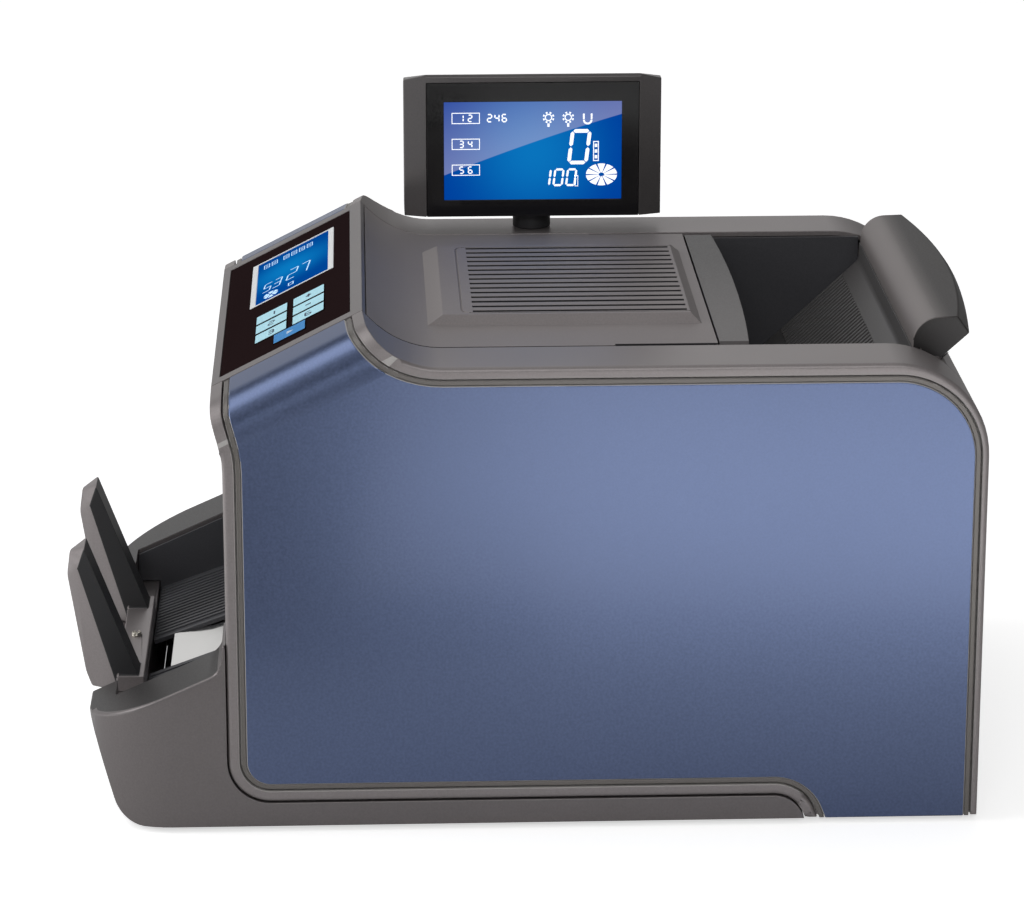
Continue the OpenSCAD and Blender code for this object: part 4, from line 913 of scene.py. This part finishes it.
@dataclass
class Studio:
    """Camera, floor, dark cards and soft lights, in metres."""

    eye: Vector = field(default_factory=lambda: Vector((1.7267, -0.0672, 0.6570)))
    look: Vector = field(default_factory=lambda: Vector((-0.9556, 0.0377, -0.2924)))
    lens: float = 142.2
    # Brightness of the surround from the front (0) to the rear (1)
    surround: tuple[tuple[float, float], ...] = (
        (0.001, 0.6), (0.35, 0.65), (0.45, 0.8), (0.525, 0.95), (0.59, 0.45), (0.65, 0.2), (0.999, 0.2))
    # Where the surround starts and stops dimming, from far (-1) to near (1), and the share that is left
    dimming: tuple[float, float, float] = (-0.4, 0.5, 0.45)
    floor_reach: float = 9.0
    flags: tuple[Flag, ...] = (
        Flag("floor_flag", (0.34, 1.2), (-0.17, 0.02), 0.002),
        Flag("near_flag", (0.8, 1.25), (-0.95, -0.35), 1.0),
        Flag("far_flag", (-0.95, -0.4), (-0.9, -0.4), 1.0))
    lamps: tuple[Lamp, ...] = (
        Lamp("front_box", (0.2, -1.7, 0.9), (0.0, 0.0, 0.12), (1.2, 0.9), 8.0),
        Lamp("edge_box", (2.0, 0.1, 1.4), (0.0, 0.0, 0.15), (1.6, 0.3), 10.0),
        Lamp("shoulder_strip", (0.0, -0.95, 1.5), (0.11, -0.09, 0.2), (0.9, 0.4), 2.6),
        Lamp("side_card", (0.46, 0.18, 0.02), (0.28, 0.16, 0.5), (0.5, 0.36), 1.0),
        Lamp("front_card", (0.1, -0.6, 0.02), (0.1, -0.5, 0.5), (0.5, 0.5), 1.0))

    def camera(self) -> None:
        """Sets the camera at the photograph's viewing angle."""
        data = bpy.data.cameras.new("camera")
        data.lens = self.lens
        data.sensor_width = 36.0
        data.clip_start = 0.01
        obj = bpy.data.objects.new("camera", data)
        obj.location = self.eye
        obj.rotation_euler = self.look.to_track_quat("-Z", "Y").to_euler()
        bpy.context.scene.collection.objects.link(obj)
        bpy.context.scene.camera = obj

    def floor(self) -> None:
        """Lays a pale floor that keeps the object's shadow."""
        bm = bmesh.new()
        bmesh.ops.create_grid(bm, x_segments=1, y_segments=1, size=self.floor_reach)
        mesh = bpy.data.meshes.new("floor")
        bm.to_mesh(mesh)
        bm.free()
        mesh.materials.append(FLOOR.material())
        obj = bpy.data.objects.new("floor", mesh)
        bpy.context.scene.collection.objects.link(obj)

    def flag(self, card: Flag) -> None:
        """Holds a dark card that only reflections see.

        Args:
            card: the card.
        """
        (x0, x1), (y0, y1) = card.across, card.along
        corners = [(x, y, card.height) for x, y in ((x0, y0), (x1, y0), (x1, y1), (x0, y1))]
        mesh = bpy.data.meshes.new(card.name)
        mesh.from_pydata(corners, [], [(0, 1, 2, 3)])
        mesh.materials.append(DULL_BLACK.material())
        obj = bpy.data.objects.new(card.name, mesh)
        obj.visible_camera = obj.visible_diffuse = obj.visible_shadow = False
        bpy.context.scene.collection.objects.link(obj)

    def world(self) -> None:
        """Sets a surround that is pale on the far side, dim behind and near, and white to the camera."""
        world = bpy.data.worlds.new("studio")
        world.use_nodes = True
        bpy.context.scene.world = world
        tree = world.node_tree
        back = tree.nodes["Background"]
        ray = add(tree, "ShaderNodeLightPath")
        way = add(tree, "ShaderNodeTexCoord")
        part = add(tree, "ShaderNodeSeparateXYZ", {0: way.outputs["Generated"]})
        turn = add(tree, "ShaderNodeMapRange", {"Value": part.outputs[1], 1: -1.0, 2: 1.0})
        ramp = add(tree, "ShaderNodeValToRGB", {"Fac": turn.outputs[0]})
        for place, tone in self.surround:
            ramp.color_ramp.elements.new(place).color = (tone, tone, tone, 1.0)
        first, last, left = self.dimming
        near = add(tree, "ShaderNodeMapRange", {"Value": part.outputs[0], 1: first, 2: last, 3: 1.0, 4: left})
        tone = add(tree, "ShaderNodeMath", {0: ramp.outputs[0], 1: near.outputs[0]}, operation="MULTIPLY")
        level = add(tree, "ShaderNodeMix", {0: ray.outputs["Is Camera Ray"], 2: tone.outputs[0], 3: 1.0})
        tree.links.new(level.outputs[0], back.inputs["Strength"])
        back.inputs["Color"].default_value = (1, 1, 1, 1)

    def lamp(self, box: Lamp) -> None:
        """Hangs a soft box that the camera doesn't see.

        Args:
            box: the soft box.
        """
        data = bpy.data.lights.new(box.name, "AREA")
        data.shape = "RECTANGLE"
        data.size, data.size_y = box.size
        data.energy = box.watts
        obj = bpy.data.objects.new(box.name, data)
        obj.visible_camera = False
        obj.location = box.at
        aim = Vector(box.to) - Vector(box.at)
        obj.rotation_euler = aim.to_track_quat("-Z", "Y").to_euler()
        bpy.context.scene.collection.objects.link(obj)

    def build(self) -> None:
        """Sets up the whole studio."""
        bpy.context.scene.view_settings.view_transform = "Standard"
        self.camera()
        self.floor()
        for card in self.flags:
            self.flag(card)
        self.world()
        for box in self.lamps:
            self.lamp(box)


@dataclass
class Housing:
    """Shells, panels, base and rear of the case, with limits in millimetres that tell its faces apart."""

    frame: Frame
    # Least distance of the side face from the middle, and the span in which its recess lies
    side: float = 129.9
    recess_span: tuple[float, float] = (122.0, 129.7)
    # A point inside the side's outline, in y and z
    middle: tuple[float, float] = (35.0, 100.0)
    # Lowest height of the tray's rim, and how far forward its wide round goes
    rim_low: float = 40.0
    rim_front: float = -182.5
    # Shares of a normal: along x on the recess's floor, up on the rim's top, and up or outward at all
    floor_facing: float = 0.95
    rim_facing: float = 0.55
    at_all: float = 0.3
    # Widths of the wide rounds on the shells' contour and on the tray's rim
    contour_round: float = 2.0
    rim_round: float = 1.4
    # Middles of the feet in x and y, and the radii and height of one
    foot_x: tuple[float, ...] = (-74.0, 74.0)
    foot_y: tuple[float, ...] = (-136.0, 170.5)
    foot: dict[str, float] = field(
        default_factory=lambda: {"Foot": 8.0, "Top": 9.0, "Hollow": 4.0, "Height": 2.5})

    def build(self) -> None:
        """Dresses the case."""
        contour = Roll(self.contour_round, self.contour)
        # The walls and floors of the shells' grooves get a pale painted highlight.
        for node in ("side_shell_right", "side_shell_left"):
            self.frame.dress(node, GUNMETAL, Edge.FINE, contour, Tint(GROOVE_HIGHLIGHT, self.recess))
        rim = Roll(self.rim_round, self.rim)
        # The top of the tray's rim gets charcoal painted shade.
        self.frame.dress("base_tray", BASE_SHADED, Edge.FINE, rim, Tint(CHARCOAL_SHADE, self.shaded_rim_top))
        self.frame.dress("rear_cover", GUNMETAL, Edge.SHARP)
        self.frame.dress("front_fascia", GUNMETAL, Edge.FINE)
        # The upright edges of the trims and panels get the same pale painted highlight.
        for node in ("side_trim_right", "side_trim_left"):
            self.frame.dress(node, TRIM, Edge.FINE, tint=Tint(GROOVE_HIGHLIGHT, self.upright), merge=True)
        for node in ("side_panel_right", "side_panel_left"):
            self.frame.dress(node, BLUE, Edge.SOFT, tint=Tint(GROOVE_HIGHLIGHT, self.upright), merge=True)
        self.frame.paint(SHEET, "bottom_plate")
        places = tuple((x, y, 0.0) for x in self.foot_x for y in self.foot_y)
        Feet(self.frame, "rubber_feet", RUBBER, places, self.foot).build()

    def contour(self, edge: bmesh.types.BMEdge) -> bool:
        """Tells whether an edge is where a shell's side face meets its outer contour.

        Args:
            edge: an edge between two faces.

        Returns:
            Whether it gets the wide round.
        """
        flat, turned = sorted(edge.link_faces, key=lambda f: -abs(f.normal.x))
        middle = (edge.verts[0].co + edge.verts[1].co) / 2
        placed = min(abs(v.co.x) for v in edge.verts) > self.side * MM
        across = abs(flat.normal.x) > FACING and abs(turned.normal.x) < LEANING
        return placed and across and self.outward(middle, turned.normal) > 0

    def outward(self, place: Vector, normal: Vector) -> float:
        """Returns how far a normal points away from the middle of the side, below 0 if towards it."""
        y, z = self.middle
        return (place.y - y * MM) * normal.y + (place.z - z * MM) * normal.z

    def upright(self, face: bmesh.types.BMFace) -> bool:
        """Tells whether a face stands square to the side, as the walls of a groove do."""
        return abs(face.normal.x) < EDGE_ON

    def recess(self, face: bmesh.types.BMFace) -> bool:
        """Tells whether a face is the floor or the inner wall of the recess for the trim and the panel.

        Args:
            face: a face of a shell.

        Returns:
            Whether it gets the pale painted highlight.
        """
        middle = face.calc_center_median()
        inward = self.outward(middle, face.normal) < 0
        inner, outer = self.recess_span
        within = inner * MM < abs(middle.x) < outer * MM
        upper = middle.z > self.middle[1] * MM and face.normal.z > self.at_all
        bottom = abs(face.normal.x) > self.floor_facing
        return within and not upper and (bottom or (self.upright(face) and inward))

    def rim(self, edge: bmesh.types.BMEdge) -> bool:
        """Tells whether an edge is where the tray's outer wall meets the top of its rim.

        Args:
            edge: an edge between two faces.

        Returns:
            Whether it gets the wide round.
        """
        wall, top = sorted(edge.link_faces, key=lambda f: f.normal.z)
        middle = (edge.verts[0].co + edge.verts[1].co) / 2
        outward = wall.normal.x * middle.x > self.at_all * abs(middle.x) or wall.normal.y < -LEANING
        placed = middle.z > self.rim_low * MM and middle.y > self.rim_front * MM
        return top.normal.z > self.rim_facing and abs(wall.normal.z) < LEANING and placed and outward

    def shaded_rim_top(self, face: bmesh.types.BMFace) -> bool:
        """Tells whether a face is the top of the tray's rim, which gets painted shade."""
        return face.normal.z > self.rim_facing and face.calc_center_median().z > self.rim_low * MM


@dataclass
class Lid:
    """Louvred lid, hopper and its guide."""

    frame: Frame

    def build(self) -> None:
        """Dresses the lid and the hopper."""
        # Upright walls of slots and ends get a dark colour as painted shade.
        self.frame.dress("top_cover", LID_LIT, Edge.CRISP, tint=Tint(BLACK, self.shaded_flank))
        self.frame.dress("hopper_front_plate", STRIP_SHADED, Edge.CRISP, tint=Tint(BLACK, self.shaded_flank), merge=True)
        self.frame.dress("hopper_guide", GUIDE_SHADED, Edge.SOFT, tint=Tint(CHARCOAL_SHADE, self.shaded_flank), merge=True)
        self.frame.dress("hopper_well", LINER_LIT, Edge.SHARP)
        self.frame.dress("hopper_ramp", RAMP, Edge.CRISP)

    def shaded_flank(self, face: bmesh.types.BMFace) -> bool:
        """Tells whether a face is an upright wall of a slot or an end, which gets a dark colour as painted
        shade.
        """
        return abs(face.normal.x) > FACING


@dataclass
class Console:
    """Sloped console with its screen and keys.

    Marks are placed up the slope and to the left, in millimetres.
    """

    frame: Frame
    # The ridge's middle, the slope in degrees, and places across the console and down from the ridge
    ridge: Vector = field(default_factory=lambda: Vector((0.0, -65.5 * MM, 220 * MM)))
    slope: float = 27.0
    screen: tuple[float, float] = (-37.0, 34.7)
    keys: tuple[tuple[str, float, float], ...] = (
        ("key_1", 29.5, 43.6), ("key_2", 44.5, 43.6), ("key_3", 59.5, 43.6),
        ("key_4", 29.5, 25.6), ("key_5", 44.5, 25.6), ("key_6", 59.5, 25.6))
    start: tuple[str, float, float] = ("key_start", 74.4, 34.4)
    # Share of a normal along the console's past which a face is a key's top
    top_facing: float = 0.7
    # Heights of the underside and the top of the marks, on the screen and on the keys
    screen_print: tuple[float, float] = (-0.42, -0.34)
    key_print: tuple[float, float] = (0.27, 0.37)
    # Middle of the screen's light, and how far it reaches
    glow_at: Point = (-2.0, 4.0, 0.0)
    glow_reach: float = 34.0
    # Row of boxes: their middles, and height of the row, width, height and line of one
    boxes: tuple[float, ...] = (-13.5, -9.5, -3.5, 0.5, 4.5, 8.5)
    box: tuple[float, float, float, float] = (26.5, 3.0, 6.4, 0.35)
    # Two dashes in each box: rise over its middle, width and height
    dash: tuple[float, float, float] = (1.0, 1.5, 0.5)
    small: Digits = Digits((5, 3), -12.5, -13.0, 5.0, 4.2, 13.0, 0.6)
    large: Digits = Digits((2, 7), 0.0, -10.0, 6.0, 4.8, 16.0, 0.65)
    fan: Fan = Fan(-10.5, -28.0, 3.6, 4.6, 6, 8.0, 52.0, 0.25)
    tab: tuple[float, float, float, float, float] = (-0.5, -27.0, 2.8, 4.4, 0.5)
    # Signs of the keys: a digit's width, height and line, the bars of a minus and a plus, and the start arrow
    key_digit: tuple[float, float, float] = (3.4, 6.0, 0.8)
    minus: tuple[float, float] = (2.6, 1.4)
    plus: tuple[float, float] = (0.9, 4.6)
    arrow: tuple[tuple[float, float], ...] = ((-1.2, -2.2), (2.0, 0.0), (-1.2, 2.2))

    def plane(self, x: float, s: float) -> Plane:
        """Returns the console's face at x and s, seen from the right-hand side.

        Args:
            x: across the console, in millimetres.
            s: down the slope from the ridge.

        Returns:
            A plane whose right is up the slope and whose up is to the left.
        """
        a = math.radians(self.slope)
        down = Vector((0.0, -math.cos(a), -math.sin(a)))
        across = Vector((1.0, 0.0, 0.0))
        return Plane(self.ridge + (across * x + down * s) * MM, -down, -across)

    def build(self) -> None:
        """Dresses the console."""
        self.frame.dress("console_housing", FRAME_SHADED, Edge.FINE)
        self.frame.dress("console_overlay", OVERLAY, Edge.CRISP)
        self.frame.dress("console_lcd_frame", WHITE, Edge.CRISP)
        self.screen_marks()
        # The keys' sides take the overlay's dark colour as painted shade in the gaps between the keys.
        for node, _, _ in self.keys:
            self.frame.dress(node, KEY, Edge.CRISP, tint=Tint(OVERLAY, self.side))
        self.frame.dress(self.start[0], START, Edge.CRISP, tint=Tint(OVERLAY, self.side))
        self.key_marks()

    def side(self, face: bmesh.types.BMFace) -> bool:
        """Tells whether a face doesn't look straight out of the console: a key's side, which gets painted
        shade.
        """
        face_on = self.plane(0.0, 0.0)
        return face.normal.dot(face_on.right.cross(face_on.up)) < self.top_facing

    def screen_marks(self) -> None:
        """Lights the screen and draws plain numbers and boxes on it."""
        face = self.plane(*self.screen)
        glow = Glow("lcd_console", "0a7ec8", "00489c", tuple(face.at(*self.glow_at)), self.glow_reach,
                    BACKLIGHT)
        self.frame.paint(glow, "console_lcd")
        marks = Drawing()
        v, w, h, line = self.box
        rise, *dash = self.dash
        for u in self.boxes:
            marks.frame(u, v, w, h, line).bar(u, v - rise, *dash).bar(u, v + rise, *dash)
        marks.digits(self.small).digits(self.large).fan(self.fan).frame(*self.tab)
        marks.piece("console_screen_marks", face, *self.screen_print, DIM, "chassis")

    def key_marks(self) -> None:
        """Prints plain signs on the keys."""
        for number, (node, x, s) in enumerate(self.keys, start=1):
            marks = Drawing()
            if node == "key_5":
                marks.bar(0, 0, *self.minus)
            elif node == "key_4":
                marks.bar(0, 0, *self.minus).bar(0, 0, *self.plus)
            else:
                marks.digit(number, 0, 0, *self.key_digit, slant=0.0)
            marks.piece(f"{node}_mark", self.plane(x, s), *self.key_print, INK, node)
        node, x, s = self.start
        sign = Drawing([list(self.arrow)])
        sign.piece(f"{node}_mark", self.plane(x, s), *self.key_print, PALE_INK, node)


@dataclass
class Display:
    """Customer display on its post.

    Marks are placed to the right of the screen's middle and above it, in millimetres.
    """

    frame: Frame
    # Heights of the underside and the top of the marks, and how far the screen's light reaches
    screen_print: tuple[float, float] = (-0.02, 0.1)
    glow_reach: float = 48.0
    # Painted reflection across the screen
    painted_reflection: PaintedReflection = PaintedReflection(3.8, 0.346, -0.00065)
    # Boxes with two digits: heights of their rows, and middle, width, height and line of one
    rows: tuple[float, ...] = (15.5, 3.3, -8.9)
    box: tuple[float, float, float, float] = (-31.0, 13.0, 5.2, 0.35)
    pair: Digits = Digits((1, 2), -33.0, 0.0, 4.0, 2.2, 3.6, 0.55, 0.0)
    small: Digits = Digits((2, 4, 6), -20.0, 15.5, 3.4, 2.5, 4.0, 0.6, 0.0)
    # Two bulbs: their middles, rays and globe, and height, width and height of the cap
    bulbs: tuple[float, ...] = (7.2, 16.3)
    rays: Fan = Fan(0.0, 15.6, 2.7, 2.7, 8, 12.0, 33.0, 0.72)
    globe: Fan = Fan(0.0, 15.6, 1.7, 1.7, 1, 0.0, 360.0, 0.72)
    cap: tuple[float, float, float] = (12.0, 1.0, 1.6)
    # A magnet: its bend, the middles of its legs, and height, width and length of a leg
    bend: Fan = Fan(25.3, 14.4, 2.2, 2.2, 1, 180.0, 360.0, 0.62)
    legs: tuple[float, ...] = (23.5, 27.1)
    leg: tuple[float, float, float] = (16.0, 0.8, 2.6)
    count: Digits = Digits((0,), 21.5, 1.7, 0.0, 9.6, 16.6, 1.7)
    # A gauge: its box, and the heights, width and height of its bars
    gauge: tuple[float, float, float, float, float] = (29.2, -0.4, 2.6, 9.4, 0.4)
    levels: tuple[float, ...] = (2.3, -0.4, -3.1)
    level: tuple[float, float] = (1.2, 1.5)
    batch: Digits = Digits((1, 0, 0), 6.0, -12.7, 5.9, 4.8, 8.4, 0.95)
    tab: tuple[float, float, float, float, float] = (20.2, -14.4, 1.6, 5.2, 0.3)
    fan: Fan = Fan(31.8, -11.5, 7.2, 5.2, 10, 4.0, 33.0, 0.18)

    def build(self) -> None:
        """Dresses the display."""
        self.frame.dress("display_housing", SLATE_SHADED, Edge.FINE, merge=True)
        self.frame.dress("display_window", ACRYLIC, Edge.CRISP)
        self.frame.dress("display_post", BLACK, Edge.FINE)
        self.frame.paint(BLACK, "display_socket")
        low, high = (Vector(v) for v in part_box("display_lcd"))
        middle = (low + high) / 2
        front = (high.x, middle.y, middle.z)
        face = Plane(Vector(front), Vector((0, 1, 0)), Vector((0, 0, 1)))
        glow = Glow("lcd_display_with_painted_reflection", "0a78c4", "0044a4", front, self.glow_reach, BACKLIGHT, self.painted_reflection)
        self.frame.paint(glow, "display_lcd")
        self.marks().piece("display_marks", face, *self.screen_print, LIT, "display")

    def marks(self) -> Drawing:
        """Draws boxed numbers, small signs, a count, a batch and a fan.

        Returns:
            The drawing.
        """
        out = Drawing()
        u, *box = self.box
        for row, v in enumerate(self.rows):
            numbers = (2 * row + 1, 2 * row + 2)
            out.frame(u, v, *box).digits(replace(self.pair, numbers=numbers, v=v))
        out.digits(self.small)
        for u in self.bulbs:
            out.fan(replace(self.rays, u=u)).fan(replace(self.globe, u=u)).bar(u, *self.cap)
        out.fan(self.bend)
        for u in self.legs:
            out.bar(u, *self.leg)
        out.digits(self.count).frame(*self.gauge)
        for v in self.levels:
            out.bar(self.gauge[0], v, *self.level)
        return out.digits(self.batch).frame(*self.tab).fan(self.fan)


@dataclass
class Tray:
    """Front tray with its floor, chute plate and note stop."""

    frame: Frame
    # Lowest height of a finger's flat side in millimetres, and share of a normal that looks to the rear
    finger_low: float = 46.5
    rear_facing: float = 0.6

    def build(self) -> None:
        """Dresses the tray."""
        self.frame.dress("stacker_floor", LINER_LIT, Edge.CRISP)
        self.frame.dress("chute_plate", POLISHED, Edge.CRISP)
        self.frame.dress("note_stop", GUNMETAL, Edge.SOFT, tint=Tint(BLACK, self.cheek))
        self.frame.dress("note_stop_screw", NICKEL, Edge.CRISP)

    def cheek(self, face: bmesh.types.BMFace) -> bool:
        """Tells whether a face is the flat side or the rear of a finger, which is left black."""
        hidden = abs(face.normal.x) > FACING or face.normal.y > self.rear_facing
        return hidden and face.calc_center_median().z > self.finger_low * MM


@dataclass
class Rear:
    """Inlet, switch and screws."""

    frame: Frame
    # Middles of the screws, and the head's radius and height, the cross's length and width, and the shank
    screw_x: tuple[float, ...] = (-89.6, 89.6)
    screw_y: float = 193.25
    screw_z: tuple[float, ...] = (36.0, 136.0)
    screw: dict[str, float] = field(default_factory=lambda: {
        "Head": 3.0, "Height": 1.05, "Slot": 3.6, "Width": 0.8, "Shank": 7.4})
    # Turn that lays a screw's axis towards the rear
    rearward: Point = (math.radians(-90), 0.0, 0.0)

    def build(self) -> None:
        """Dresses the rear fittings."""
        for node in ("power_inlet", "switch_bezel", "power_rocker"):
            self.frame.dress(node, BLACK, Edge.FINE)
        places = tuple((x, self.screw_y, z) for x in self.screw_x for z in self.screw_z)
        Screws(self.frame, "case_screws", OXIDE, places, self.screw, self.rearward).build()


@dataclass
class Mechanism:
    """Rollers, shafts, motor and boards inside the case."""

    frame: Frame

    def build(self) -> None:
        """Gives the inner pieces their finishes."""
        self.frame.paint(SHEET, "mech_plate_right", "mech_plate_left", "drive_motor")
        self.frame.paint(GROUND, "tie_rods", "pickup_shaft", "feed_shaft", "transport_shaft", "stacker_shaft",
                         "motor_pulley")
        self.frame.paint(RUBBER, "pickup_rollers", "feed_rollers", "transport_rollers", "pinch_rollers",
                         "drive_belts")
        self.frame.paint(ACETAL, "stacker_wheels")
        self.frame.paint(BLACK, "sensor_bridge")
        self.frame.paint(BOARD, "console_board", "main_board")
        self.frame.paint(LAMINATE, "power_supply")


def main() -> None:
    """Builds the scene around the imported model."""
    logging.basicConfig(level=logging.INFO, format="%(name)s: %(message)s")
    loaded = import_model()
    frame = Frame(loaded["nodes"], loaded["record"])
    Studio().build()
    for assembly in (Housing, Lid, Console, Display, Tray, Rear, Mechanism):
        assembly(frame).build()


if __name__ == "__main__":
    main()
